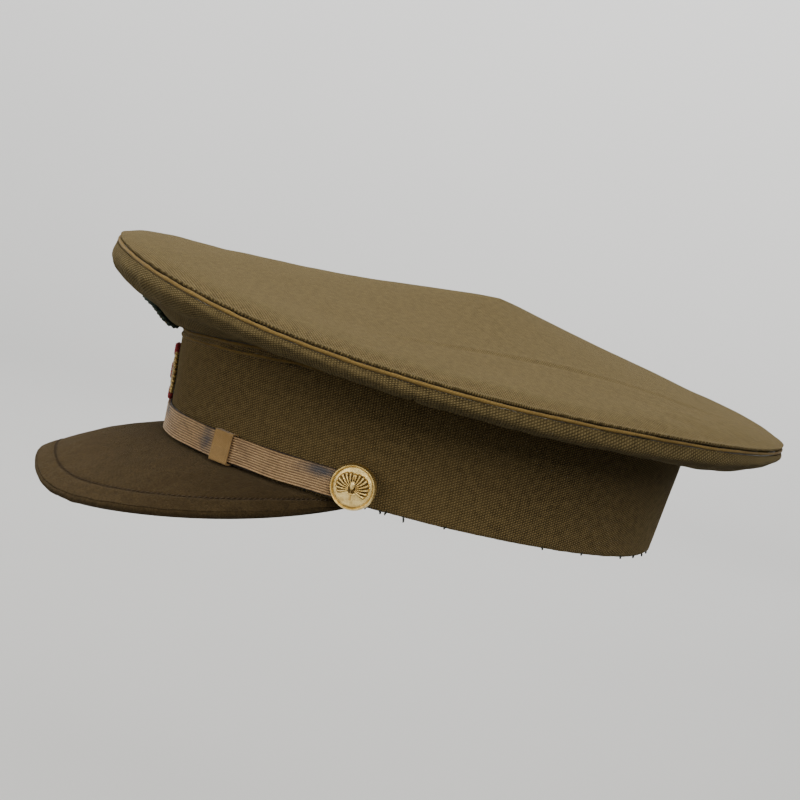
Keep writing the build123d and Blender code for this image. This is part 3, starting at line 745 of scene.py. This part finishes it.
# ---- head band ----------------------------------------------------------------------------------
def band_ring(name, node, outline, material, slot, ripples=((0.0, 30.0, 1),)):
    """A ring round the head. `outline` gives the section's (out, up) rows for all angles."""
    theta = np.linspace(0, 360, 720, endpoint=False)
    rows = [np.broadcast_arrays(out, up, theta)[:2] for out, up in outline(theta)]
    outs = np.array([out for out, up in rows])
    ups = np.array([up for out, up in rows])
    points = place(theta[None, :], outs, ups)
    for size, scale, seed in ripples:
        move = size * ripple(points, scale, seed)
        points = place(theta[None, :], outs + move, ups)
    obj = strip_object(name, points, material, wrap_rows=True, wrap_columns=True)
    belongs(obj, slot, node)
    return obj


def band_outline(theta):
    """Cloth turned under at the bottom edge, up to the lower piping."""
    top = band_top(theta) - 0.7
    ragged = 0.18 * ripple(place(theta, 0, 0), 5, 31) + 0.25 * ripple(place(theta, 0, 0), 17, 32)
    # beside the peak the cloth runs down to the peak's root
    ragged = 0.4 * ragged - 1.1 * (0.5 - 0.5 * np.tanh((np.abs((theta + 180) % 360 - 180) - 79.5) / 0.6))
    rows = [(-1.2, 1.0), (-1.2, 0.35 + ragged), (-0.9, 0.05 + ragged)]
    rows += [(-0.3, 0.02 + ragged), (0.05, 0.45 + ragged)]
    full = 0.8 * np.clip(-np.cos(np.radians(theta)), 0, 1) ** 3
    for share in np.linspace(0.03, 1, 30):
        up = share * top
        rows.append((lean(up) + full, up))
    rows.append((lean(top) - 1.2, top))
    return rows


def welt_outline(theta):
    face = lean(band_top(theta)) - 0.1
    low, high = band_top(theta) + 0.6, welt_top(theta) - 0.6
    middle = (low + high) / 2
    rows = [(face - 0.3, low), (face + 0.15, middle), (face - 0.3, high)]
    return rows + [(face - 1.2, high), (face - 1.2, low)]


def sweatband_outline(theta):
    top = band_top(theta) - 6
    rows = [(lean(0.8) - 4.3, 0.8), (lean(top) - 4.3, top), (lean(top) - 4.8, top + 0.5)]
    for share in np.linspace(1, 0, 14):
        up = 0.8 + (top - 0.8) * share
        rows.append((lean(up) - 5.3 + 0.35 * np.exp(-(((up - 5) / 0.8) ** 2)), up))
    rows.append((-4.8, 0.3))
    return rows


# ---- peak ---------------------------------------------------------------------------------------
def peak_width(theta):
    share = np.minimum(np.abs(theta) / PEAK_HALF_ANGLE, 1)
    return PEAK_REACH * (1 - share**2.315) ** 1.519


def peak_profile(theta, share):
    """Top face of the peak, as (out, up); `share` runs from 0 at the band to 1 at the edge."""
    aside = np.minimum(np.abs(theta) / PEAK_HALF_ANGLE, 1)
    edge = PEAK_CORNER_HEIGHT + (PEAK_EDGE_HEIGHT - PEAK_CORNER_HEIGHT) * (1 - aside**1.71)
    edge = edge + PEAK_ARCH * np.exp(-((theta / PEAK_ARCH_ANGLE) ** 2))
    fall = share - (0.55 - 0.22 * aside**4) * share * (1 - share)
    return peak_width(theta) * share, PEAK_ROOT_HEIGHT + (edge - PEAK_ROOT_HEIGHT) * fall


def peak_points(theta, share, depth):
    """Points `depth` below the peak's top face, measured square to it."""
    before, after = peak_profile(theta, share - 0.01), peak_profile(theta, share + 0.01)
    run, drop = after[0] - before[0], after[1] - before[1]
    length = np.maximum(np.hypot(run, drop), 1e-6)
    out, up = peak_profile(theta, share)
    return place(theta, out + depth * drop / length, up - depth * run / length)


def peak_edge(theta, along, depth):
    """Points round the peak's rim: `along` is measured outward from the edge on the top face."""
    before, edge = peak_profile(theta, 0.98), peak_profile(theta, 1.0)
    run, drop = edge[0] - before[0], edge[1] - before[1]
    length = np.maximum(np.hypot(run, drop), 1e-6)
    run, drop = run / length, drop / length
    return place(theta, edge[0] + along * run + depth * drop, edge[1] + along * drop - depth * run)


def border_share(theta):
    """Where the border strip's seam lies: the strip narrows towards the peak's corners."""
    return 1 - PEAK_BORDER / (peak_width(theta) + 9.6)


def under_share(theta):
    return border_share(theta) + 0.3 * (1 - border_share(theta))


PEAK_ANGLES = np.linspace(-76.6, 76.6, 420)


def peak_piece(name, node, points, material, slot):
    obj = strip_object(name, points, material, wrap_rows=True)
    belongs(obj, slot, node)
    return obj


def peak_cover():
    theta = PEAK_ANGLES[None, :]
    share = np.sin(np.linspace(-0.03, np.pi / 2, 80))[:, None] * border_share(theta)
    top = peak_points(theta, share, 0)
    # the cover lies flat at its root, where the keepers pass over it
    loose = np.clip(share * 5 - 0.6, 0, 1)
    top[..., 2] += loose * (0.30 * ripple(top, 40, 41) + 0.12 * ripple(top, 9, 42))
    from_seam = (border_share(theta) - share) * peak_width(theta)
    top[..., 2] -= 0.5 * np.exp(-((from_seam / 0.7) ** 2))
    bottom = peak_points(theta, share, 1.35)
    section = np.concatenate([top, bottom[::-1]], axis=0)
    obj = peak_piece("peak_cover_cloth", "peak_cover", section, PEAK_CLOTH, "peak_cloth")
    # painted shade: mask of the sunken seam groove, darkened by the felt material
    groove_shade = np.exp(-((from_seam / 0.5) ** 2))
    set_attribute(obj, "groove_shade", np.concatenate([groove_shade, groove_shade[::-1]], axis=0))
    return obj


def peak_border():
    """The border strip: over the top face, round the edge and back underneath."""
    theta = PEAK_ANGLES[None, :]
    inner, under = border_share(theta), under_share(theta)
    rows = []
    for step in np.linspace(0, 0.88, 26):
        swell = 0.6 * (1 - np.exp(-((step * 10) ** 2))) * (1 - 0.5 * step)
        rows.append(peak_points(theta, inner + (1 - inner) * step, 0.3 - swell))
    width = peak_width(theta)
    half = PEAK_THICKNESS / 2
    rows = rows[:-1]
    for turn in np.radians(np.linspace(90, -90, 11)):
        rows.append(peak_edge(theta, half * (np.cos(turn) - 1), half * (1 - np.sin(turn))))
    for step in np.linspace(0.12, 1, 11):
        rows.append(peak_points(theta, 1 + (under - 1) * step, PEAK_THICKNESS))
    rows.append(peak_points(theta, under, PEAK_THICKNESS - 0.6))
    rows.append(peak_points(theta, 1 - 1.4 / np.maximum(width, 4), PEAK_THICKNESS - 0.7))
    rows.append(peak_points(theta, 1 - 1.4 / np.maximum(width, 4), 0.9))
    rows.append(peak_points(theta, inner, 0.9))
    points = np.array([np.broadcast_to(row, (1, theta.size, 3))[0] for row in rows])
    points[:35, :, 2] += 0.22 * ripple(points[:35], 12, 43) + 0.08 * ripple(points[:35], 4, 44)
    obj = peak_piece("peak_border_strip", "peak_binding", points, PEAK_CLOTH, "peak_cloth")
    # painted shade: the strip's inner edge beside the seam groove is darkened
    groove_shade = np.zeros(points.shape[:2])
    groove_shade[:2] = np.array([0.9, 0.3])[:, None]
    set_attribute(obj, "groove_shade", groove_shade)
    return obj


def peak_underside():
    theta = PEAK_ANGLES[None, :]
    share = np.linspace(-0.02, 1, 30)[:, None] * under_share(theta)
    top = peak_points(theta, share, PEAK_THICKNESS - 0.75)
    bottom = peak_points(theta, share, PEAK_THICKNESS - 0.05)
    section = np.concatenate([top, bottom[::-1]], axis=0)
    return peak_piece("peak_underside_cloth", "peak_lining", section, PEAK_LINING, "peak_lining")


def capsules(name, starts, ends, radius, material, sides=6):
    """Many short stitches in one mesh, each a rounded thread that dips at its two ends."""
    vertices, faces, uvs = [], [], []
    stations = ((0, 0.25, -0.5), (0.12, 0.9, -0.1), (0.5, 1.0, 0.15), (0.88, 0.9, -0.1), (1, 0.25, -0.5))
    for start, end in zip(starts, ends):
        direction = end - start
        direction = direction / np.linalg.norm(direction)
        side = np.cross(direction, [0, 0, 1.0])
        side /= np.linalg.norm(side)
        rise = np.cross(side, direction)
        base = len(vertices)
        for share, size, lift in stations:
            centre = start + (end - start) * share + rise * lift * radius
            for turn in np.linspace(0, 2 * np.pi, sides, endpoint=False):
                vertices.append(centre + radius * size * (np.cos(turn) * side + np.sin(turn) * rise))
                uvs.append((share * 3, turn))
        faces += grid_faces(len(stations), sides, wrap_columns=True, start=base)
        faces.append(tuple(base + k for k in reversed(range(sides))))
        faces.append(tuple(base + (len(stations) - 1) * sides + k for k in range(sides)))
    return make_object(name, np.array(vertices), faces, material, np.array(uvs))


def peak_stitching():
    """Slanting overcast stitches that hold the border strip down."""
    theta = np.arange(-72, 72, 0.95)

    def beside_seam(angle, aside):
        return peak_points(angle, border_share(angle) + aside / np.maximum(peak_width(angle), 3), -0.12)

    starts, ends = beside_seam(theta, 0.5), beside_seam(theta + 0.45, -0.45)
    obj = capsules("peak_border_stitches", starts, ends, 0.2, PEAK_THREAD)
    belongs(obj, "thread", "peak_stitching")


# ---- chin strap ---------------------------------------------------------------------------------
def strap_face(theta, out):
    """Distance from the band: the strap is drawn against it at the front."""
    return out - 1.6 * STRAP_TUCK * np.exp(-((theta / (1.3 * STRAP_TUCK_ANGLE)) ** 2))


def strap_lace():
    """Ribbed lace with raised edges, its ends under the buttons."""
    theta = np.linspace(-STRAP_END, STRAP_END, 620)
    middle = around(theta, *STRAP_HEIGHT)
    across = np.linspace(-1, 1, 111)
    ribs = (0.5 + 0.5 * np.cos(across * np.pi * STRAP_RIBS)) ** 0.7
    edges = np.exp(-(((np.abs(across) - 0.95) / 0.05) ** 2))
    face = LACE_START + 0.45 + 0.34 * ribs + 0.12 * edges
    face = face - 0.5 * np.clip((np.abs(across) - 0.965) / 0.035, 0, 1) + 0.25 * across
    outs = np.concatenate([face, [LACE_START, LACE_START]])
    ups = np.concatenate([across, [1, -1]]) * STRAP_WIDTH / 2
    outs = strap_face(theta[None, :], outs[:, None])
    points = place(theta[None, :], outs, middle[None, :] + ups[:, None])
    wave = 0.14 * ripple(points, 16, 51) + 0.06 * ripple(points, 3.5, 52)
    middle = middle + 0.25 * ripple(place(theta, 0, 0), 30, 53)
    points = place(theta[None, :], outs + wave, middle[None, :] + ups[:, None] * (1 + 0.03 * wave))
    obj = strip_object("strap_metal_lace", points, LACE_METAL, wrap_rows=True)
    # rib crests, for the painted shade in the gaps between the ribs
    set_attribute(obj, "rib", np.repeat(np.concatenate([ribs, [0, 0]])[:, None], theta.size, axis=1))
    # rubbed dark beside the button, beside the keeper and in a few other places
    worn = np.zeros_like(outs)
    for angle, half_length, height, half_width in STRAP_WEAR:
        worn += bump(theta[None, :], angle, half_length) * bump(ups[:, None], height, half_width)
    set_attribute(obj, "worn", np.clip(worn, 0, 1))
    belongs(obj, "lace", "strap_lace")


def strap_backing():
    theta = np.linspace(-STRAP_END, STRAP_END, 320)
    middle = around(theta, *STRAP_HEIGHT)
    half = STRAP_WIDTH / 2
    outline = [(2.4, -half), (3.0, -half - 0.25), (3.25, -half)]
    outline += [(3.25, half), (3.0, half + 0.25), (2.4, half)]
    outs = strap_face(theta[None, :], np.array([o for o, u in outline])[:, None])
    ups = np.array([u for o, u in outline])[:, None]
    points = place(theta[None, :], outs, middle[None, :] + ups)
    obj = strip_object("strap_leather_backing", points, STRAP_LEATHER, wrap_rows=True)
    belongs(obj, "strap_leather", "strap_backing")


def keeper(side, side_name):
    """A woven loop round the strap, slightly crowned, with soft corners."""
    degrees_per_mm = 1 / 1.63
    theta = side * KEEPER_ANGLE + np.linspace(-0.5, 0.5, 26) * KEEPER_LENGTH * degrees_per_mm
    middle = around(theta, *STRAP_HEIGHT)
    turn = np.linspace(0, 2 * np.pi, 64, endpoint=False)
    corner = 0.22
    half_out, half_up = 1.92, 6.3
    box_out = np.sign(np.cos(turn)) * np.abs(np.cos(turn)) ** corner
    box_up = np.sign(np.sin(turn)) * np.abs(np.sin(turn)) ** corner
    centre = LACE_START + 0.1
    flare = 0.12 * (np.abs(np.linspace(-1, 1, 26)) ** 6)[None, :]
    outs = centre + box_out[:, None] * (half_out + flare)
    ups = box_up[:, None] * (half_up + flare)
    outer = place(theta[None, :], outs, middle[None, :] + ups)
    inner = place(theta[None, :], centre + box_out[:, None] * 1.45, middle[None, :] + box_up[:, None] * 5.8)
    columns = np.concatenate([outer, inner[:, ::-1]], axis=1)
    obj = strip_object(f"keeper_{side_name}_loop", columns, KEEPER_CLOTH, wrap_rows=True, wrap_columns=True)
    belongs(obj, "keeper", f"keeper_{side_name}", body=f"keeper_{side_name}")


# ---- buttons ------------------------------------------------------------------------------------
def button_frame(side_name):
    """Axes of a button from its joint: the outward shank axis, along the strap and up."""
    joint = next(j for j in frame["joints"] if j["name"] == f"{side_name}_button_turn")
    axis = np.array(joint["axis"], float)
    axis /= np.linalg.norm(axis)
    along = np.cross([0, 0, 1.0], axis)
    return np.array(joint["pos_m"]) / MM, axis, along, np.array([0, 0, 1.0])


def leaf_spray(across, up, fullness=1.0):
    """A fan of leaves on a stem, to the height they stand off the button."""
    relief = np.zeros(np.broadcast_shapes(across.shape, up.shape))
    for side in (1, -1):
        for index in range(8):
            tilt = np.radians(-22 + 15.5 * index)
            reach_out = 7.0 - 0.07 * (index - 3.5) ** 2
            along = side * across * np.cos(tilt) + (up + 0.6) * np.sin(tilt)
            curl = 0.045 * (along - 3.4) ** 2
            aside = -side * across * np.sin(tilt) + (up + 0.6) * np.cos(tilt) - curl + 0.2
            half = fullness * (0.12 + 0.072 * along)
            body = np.clip(1 - (aside / np.maximum(half, 0.05)) ** 2, 0, 1) ** 0.5
            body = body - 0.35 * bump(aside, 0, 0.07)
            inside = np.clip((along - 0.9) / 0.6, 0, 1) * np.clip((reach_out - along) / 0.5, 0, 1)
            relief = np.maximum(relief, (0.55 + 0.06 * along) * body * inside)
    bud = np.clip(1 - (across / (1.15 * fullness)) ** 2 - ((up - 0.9) / (2.1 * fullness)) ** 2, 0, 1) ** 0.5
    stem = bump(across, 0.12 * np.sin(up), 0.26 * fullness) * np.clip((up + 5.2) / 0.5, 0, 1) * (up < 0)
    tie = bump(up, -2.6, 0.3) * bump(across, 0, 1.2 * fullness)
    return np.maximum.reduce([relief, 1.0 * bud, 0.55 * stem, 0.6 * tie])


def button_height(radius):
    """Height of the button's face without its leaves: a raised rim round a low dome."""
    dome = 3.2 - 1.3 * (radius / 7.8) ** 2
    rim = 2.2 + 0.95 * bump(radius, 8.5, 0.45)
    base = np.where(radius < 7.8, dome, rim)
    return base - 1.5 * np.clip((radius - 8.8) / 0.45, 0, 1) ** 2


def button(side_name):
    origin, axis, along, rise = button_frame(side_name)
    radius = np.concatenate([np.linspace(0.05, 7.75, 120), np.linspace(7.85, 9.25, 20)])[:, None]
    angle = np.linspace(0, 2 * np.pi, 360, endpoint=False)[None, :]
    across, up = radius * np.cos(angle), radius * np.sin(angle)
    spray = leaf_spray(across, up)
    hollow = np.clip(leaf_spray(across, up, fullness=1.9) - spray, 0, 1) * 2.0
    hollow += 0.75 * bump(radius, 7.85, 0.3)
    knocks = 0.05 * ripple(np.stack([across, up, 0 * up], axis=-1), 2.2, 71)
    height = 0.35 + button_height(radius) + (spray + knocks) * (radius < 7.8)
    rings = [np.stack(np.broadcast_arrays(across, up, height), axis=-1)]
    for ring_radius, ring_height in ((9.25, 1.0), (9.1, 0.45), (8.5, 0.3), (7.0, 0.32), (1.0, 0.32)):
        ring = (ring_radius * np.cos(angle), ring_radius * np.sin(angle), ring_height)
        rings.append(np.stack(np.broadcast_arrays(*ring), axis=-1))
    local = np.concatenate(rings, axis=0)
    points = origin + local[..., :1] * along + local[..., 1:2] * rise + local[..., 2:] * axis
    obj = strip_object(f"button_{side_name}_face", points, BRASS, wrap_rows=False, wrap_columns=True)
    relief = np.ones(points.shape[:2])
    relief[: radius.size] = 1 - np.clip(hollow, 0, 1)
    set_attribute(obj, "relief", relief)
    belongs(obj, "button_brass", f"button_shell_{side_name}", body=f"button_{side_name}")


# ---- badges -------------------------------------------------------------------------------------
def badge_pad(name, node, material, slot, centre, half_width, half_height, lift, crown, surface, lobes):
    """A crowned oval pad of laid thread on a curved surface, with a lobed edge."""
    angle = np.linspace(0, 2 * np.pi, 160, endpoint=False)[None, :]
    share = np.linspace(0.02, 1, 22)[:, None]
    scallop = 1 + 0.045 * np.abs(np.sin(angle * lobes / 2))
    across = half_width * share * scallop * np.cos(angle)
    along = half_height * share * scallop * np.sin(angle) + centre
    swell = np.clip(1 - share**2, 0, 1) ** 0.5
    threads = 0.16 * np.sin(angle * lobes * 3 + share * 14)
    height = lift + crown * swell * (1 + threads)
    top = surface(across, along, height)
    bottom = surface(across, along, lift - 0.8 + 0 * height)
    section = np.concatenate([top, bottom[::-1]], axis=0)
    obj = strip_object(name, section, material, wrap_rows=True, wrap_columns=True)
    belongs(obj, slot, node)


def on_band(across, up, height):
    """Point on the front of the band: `across` along it, `height` off it."""
    theta = across / 1.46
    return place(theta, lean(up) + height, up)


def on_front_quarter(across, along, height):
    """Point on the sloping front of the crown: `along` runs up the slope."""
    theta = across / 2.05
    share = np.clip(along, 0.0, 1.0)
    shape = np.broadcast_shapes(theta.shape, share.shape)
    theta, share = np.broadcast_to(theta, shape), np.broadcast_to(share, shape)
    table = np.linspace(0, 1, 200)
    outs, ups = quarter_profile(np.array([0.0]), table)
    out = np.interp(share, table, outs[:, 0])
    up = np.interp(share, table, ups[:, 0])
    slope = np.arctan2(np.gradient(ups[:, 0]), np.gradient(outs[:, 0]))
    tilt = np.interp(share, table, slope)
    return place(theta, out + height * np.sin(tilt), up - height * np.cos(tilt))


BULLION_SLANT = 0.35         # radians that a coil leans over, out from the middle


def bullion(name, material, slot, surface, size, count, lift, thread, node=None):
    """Short coils of thread laid side by side round an oval."""
    angle = np.linspace(0, 2 * np.pi, count, endpoint=False)
    centre, inner, outer = size
    ends = []
    for (half_across, half_up), turn in ((inner, 0.0), (outer, BULLION_SLANT)):
        across = (half_across * np.cos(angle + turn))[:, None]
        up = (centre + half_up * np.sin(angle + turn))[:, None]
        ends.append(surface(across, up, np.full_like(up, lift))[:, 0])
    obj = capsules(name, ends[0], ends[1], thread, material, sides=8)
    belongs(obj, slot, *([node] if node else []))


def badges():
    middle = 22.6
    badge_pad(
        "band_badge_ground", "band_badge_backing", DARK_THREAD, "badge_felt",
        middle - 0.6, 12.0, 10.6, 0.1, 0.3, on_band, 18,
    )
    size = (middle, (7.0, 6.0), (12.2, 10.0))
    bullion(
        "band_badge_laurel", GOLD_THREAD, "badge_gold", on_band, size, 28, 0.9, 1.1,
        node="band_badge_wreath",
    )
    size = (middle, (1.2, 1.0), (6.0, 3.4))
    bullion(
        "band_badge_boss", RED_THREAD, "badge_red", on_band, size, 14, 1.5, 1.15,
        node="band_badge_centre",
    )
    size = (middle, (6.2, 3.8), (8.2, 6.0))
    bullion("band_badge_boss_edge", GOLD_THREAD, "badge_gold", on_band, size, 22, 1.3, 0.8)
    for word, height in (("upper", middle + 8.9), ("lower", middle - 9.4)):
        size = (height, (1.0, 0.5), (5.6, 2.4))
        bullion(f"band_badge_{word}_knot", RED_THREAD, "badge_red", on_band, size, 11, 1.2, 1.2)
    badge_pad(
        "crown_badge_ground", "crown_badge_backing", DARK_THREAD, "badge_felt",
        0.24, 12.0, 0.20, 0.4, 0.6, on_front_quarter, 18,
    )
    size = (0.24, (5.8, 0.10), (9.6, 0.15))
    bullion(
        "crown_badge_rosette", GOLD_THREAD, "badge_gold", on_front_quarter, size, 26, 2.2, 0.8,
        node="crown_badge_emblem",
    )
    size = (0.24, (9.0, 0.14), (12.2, 0.20))
    bullion("crown_badge_edge", GREEN_THREAD, "badge_felt", on_front_quarter, size, 18, 1.6, 1.3)
    size = (0.24, (0.8, 0.015), (5.2, 0.09))
    bullion("crown_badge_heart", GREEN_THREAD, "badge_felt", on_front_quarter, size, 11, 2.4, 1.2)


# ---- lining -------------------------------------------------------------------------------------
def lining():
    theta = np.linspace(0, 360, 360, endpoint=False)[None, :]
    share = np.linspace(0.002, 0.935, 60)[:, None]
    points = crown_surface(theta, share)
    points[..., 2] -= 3.9 + 0.5 * ripple(points, 50, 61) + 0.18 * ripple(points, 14, 62)
    obj = sheet_object("lining_top_cloth", points, 0.5, LINING, wrap_columns=True)
    belongs(obj, "lining", "lining_top")

    theta = np.linspace(0, 360, 540, endpoint=False)
    foot = band_top(theta) - 10
    neck = welt_top(theta) + 3.4
    edge = spread(theta) - 9.3
    shelf = around(theta, 60.6, 52.6, 51.0)
    roof = crown_surface(theta, edge_share(theta, edge))[..., 2] - 4.6
    knots = [(lean(foot) - 2.9, foot), (lean(neck) - 3.2, neck)]
    knots += [(0.45 * edge, neck + 0.45 * (shelf - neck) + 0.2), (edge, shelf + 0.3), (edge, roof)]
    rows = []
    for (out_a, up_a), (out_b, up_b) in zip(knots, knots[1:]):
        for step in np.linspace(0, 1, 9)[:-1]:
            rows.append((out_a + (out_b - out_a) * step, up_a + (up_b - up_a) * step))
    rows.append(knots[-1])
    outs, ups = np.array([r[0] for r in rows]), np.array([r[1] for r in rows])
    points = place(theta[None, :], outs, ups)
    gathers = 0.35 * np.sin(np.radians(theta)[None, :] * 64) * np.linspace(0, 1, len(rows))[:, None]
    points = place(theta[None, :], outs + gathers * 0.5, ups + np.abs(gathers))
    obj = sheet_object("lining_side_cloth", points, 0.4, LINING, wrap_columns=True)
    belongs(obj, "lining", "lining_side")


def edge_share(theta, out):
    """Share of the way from the apex to the seam at a place `out` in a section."""
    points = place(theta, out, 0)
    angle = np.radians(theta)
    edge = np.stack([CROWN_HALF_WIDTH * np.sin(angle), CROWN_SETBACK - CROWN_HALF_LENGTH * np.cos(angle)], -1)
    apex = np.array([0, APEX_BACK])
    return np.linalg.norm(points[:, :2] - apex, axis=1) / np.linalg.norm(edge - apex, axis=1)


# ---- loose threads ------------------------------------------------------------------------------
def loose_threads():
    """Frayed ends of black thread in the band's bottom edge, beside the wearer's left button."""
    stubs = [(66.0, 0.5), (80.6, 0.3), (83.4, 0.6), (85.0, 0.5), (88.6, 1.5), (98.0, 0.1), (121.0, 0.2)]
    stubs += [(133.0, 0.1), (148.0, 0.3), (156.0, 0.2), (163.0, 0.2), (171.0, 0.3)]
    starts = [place(theta, 0.15, 0.7) for theta, length in stubs]
    ends = [place(theta + 0.4 * (-1) ** k, 0.3, -length - 0.4) for k, (theta, length) in enumerate(stubs)]
    obj = capsules("band_edge_fraying", np.array(starts), np.array(ends), 0.42, DARK_THREAD)
    belongs(obj, "thread")


# ---- kept CAD nodes -------------------------------------------------------------------------------
def dress_cad_nodes():
    kept = {
        "crown_hoop": STEEL,
        "hoop_ferrule": FERRULE,
        "front_stay": BOARD,
        "band_stiffener": BOARD,
        "peak_board": BOARD,
        "button_back_left": PLAIN_BRASS,
        "button_back_right": PLAIN_BRASS,
        "button_prongs_left": PLAIN_BRASS,
        "button_prongs_right": PLAIN_BRASS,
    }
    for node, material in kept.items():
        obj = frame["nodes"][node]
        obj.data.materials.clear()
        obj.data.materials.append(material)


# ---- stage, light and camera ---------------------------------------------------------------------
HEAD_FORM_HEIGHT = 0.26      # the cap is shown as high over the floor as a head form holds it


def stage():
    """Pale floor that curves up into walls all round."""
    floor_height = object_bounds()[0][2] - HEAD_FORM_HEIGHT
    reach_out, bend = 2.2, 1.1
    profile = [(0.01, floor_height), (1.0, floor_height), (reach_out, floor_height)]
    for turn in np.radians(np.linspace(0, 90, 16))[1:]:
        profile.append((reach_out + bend * np.sin(turn), floor_height + bend * (1 - np.cos(turn))))
    profile.append((reach_out + bend, floor_height + 4.0))
    turns = np.linspace(0, 2 * np.pi, 72, endpoint=False)
    points = np.array([[(r * np.sin(a), -r * np.cos(a), z) for a in turns] for r, z in profile])
    n = Nodes("backdrop")
    grain = n.noise(n.object_place(), 0.35, detail=3)
    n.set(Base_Color=n.mix(grain, (0.80, 0.795, 0.775), (0.84, 0.835, 0.815)), Roughness=0.9)
    # the walls glow faintly, so that they look pale from every side
    height = n.add("ShaderNodeSeparateXYZ")
    n.link(n.object_place(), height.inputs[0])
    n.set(Emission_Strength=n.spread(height.outputs["Z"], floor_height, floor_height + 1.2, 0.0, 0.55))
    faces = grid_faces(len(profile), len(turns), wrap_columns=True)
    obj = make_object("backdrop", points.reshape(-1, 3) / MM, faces, n.material)
    # a pale floor this near would light the cap from below, which the head form shades it from
    obj.visible_diffuse = False
    obj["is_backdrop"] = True


def area_light(name, power, size, position, target, colour=(1, 1, 1)):
    data = bpy.data.lights.new(name, "AREA")
    data.energy = power
    data.shape = "RECTANGLE"
    data.size, data.size_y = size
    data.color = colour
    obj = bpy.data.objects.new(name, data)
    obj.location = position
    obj.rotation_euler = (Vector(target) - Vector(position)).to_track_quat("-Z", "Y").to_euler()
    bpy.context.scene.collection.objects.link(obj)


def lights():
    world = bpy.data.worlds.new("studio")
    world.use_nodes = True
    world.node_tree.nodes["Background"].inputs[0].default_value = (0.98, 0.99, 1.0, 1)
    world.node_tree.nodes["Background"].inputs[1].default_value = 0.09
    bpy.context.scene.world = world
    centre = (0, 0, 0.03)
    area_light("overhead", 27.5, (1.5, 1.5), (0.1, -0.45, 1.55), centre, (1.0, 0.985, 0.95))
    area_light("side_key", 11.5, (0.8, 0.8), (1.25, 0.35, 0.85), centre, (1.0, 0.985, 0.95))
    area_light("front_fill", 8, (1.2, 0.8), (0.95, -1.25, 0.42), centre, (1.0, 0.985, 0.95))
    area_light("backdrop_light", 78, (2.6, 1.6), (-1.7, 0.3, 2.1), (-3.3, 0, 0.45))


CAMERA_AZIMUTH = 88.15
CAMERA_ELEVATION = 6.65
CAMERA_ROLL = 14.81
CAMERA_DISTANCE = 0.9407
CAMERA_TARGET = (0, -0.01249, 0.03424)


def camera():
    data = bpy.data.cameras.new("camera")
    data.lens = 100.54
    data.sensor_width = 36
    data.clip_start = 0.01
    obj = bpy.data.objects.new("camera", data)
    azimuth, elevation = np.radians(CAMERA_AZIMUTH), np.radians(CAMERA_ELEVATION)
    back = Vector(
        (np.cos(elevation) * np.sin(azimuth), -np.cos(elevation) * np.cos(azimuth), np.sin(elevation))
    )
    position = Vector(CAMERA_TARGET) + back * CAMERA_DISTANCE
    turn = back.to_track_quat("Z", "Y").to_matrix().to_4x4()
    obj.matrix_world = Matrix.Translation(position) @ turn @ Matrix.Rotation(np.radians(CAMERA_ROLL), 4, "Z")
    bpy.context.scene.collection.objects.link(obj)
    bpy.context.scene.camera = obj


crown_top()
interlining()
for quarter_name, first, last in (
    ("quarter_front_left", 0, SIDE_SEAM),
    ("quarter_rear_left", SIDE_SEAM, 180),
    ("quarter_rear_right", 180, 360 - SIDE_SEAM),
    ("quarter_front_right", 360 - SIDE_SEAM, 360),
):
    quarter(quarter_name, first, last)
pipings()
band_ring("band_outer_cloth", "band_cloth", band_outline, LIGHTENED_BAND_CLOTH, "band_cloth", ((0.25, 38, 33),))
band_ring("band_welt_cloth", "band_welt", welt_outline, LIGHTENED_BAND_CLOTH, "band_cloth")
band_ring(
    "sweatband_leather", "sweatband", sweatband_outline, SWEATBAND, "sweatband_leather", ((0.25, 40, 34),)
)
peak_cover()
peak_border()
peak_underside()
peak_stitching()
strap_lace()
strap_backing()
for side_sign, side_word in ((1, "left"), (-1, "right")):
    keeper(side_sign, side_word)
    button(side_word)
badges()
lining()
loose_threads()
dress_cad_nodes()
stage()
lights()
camera()
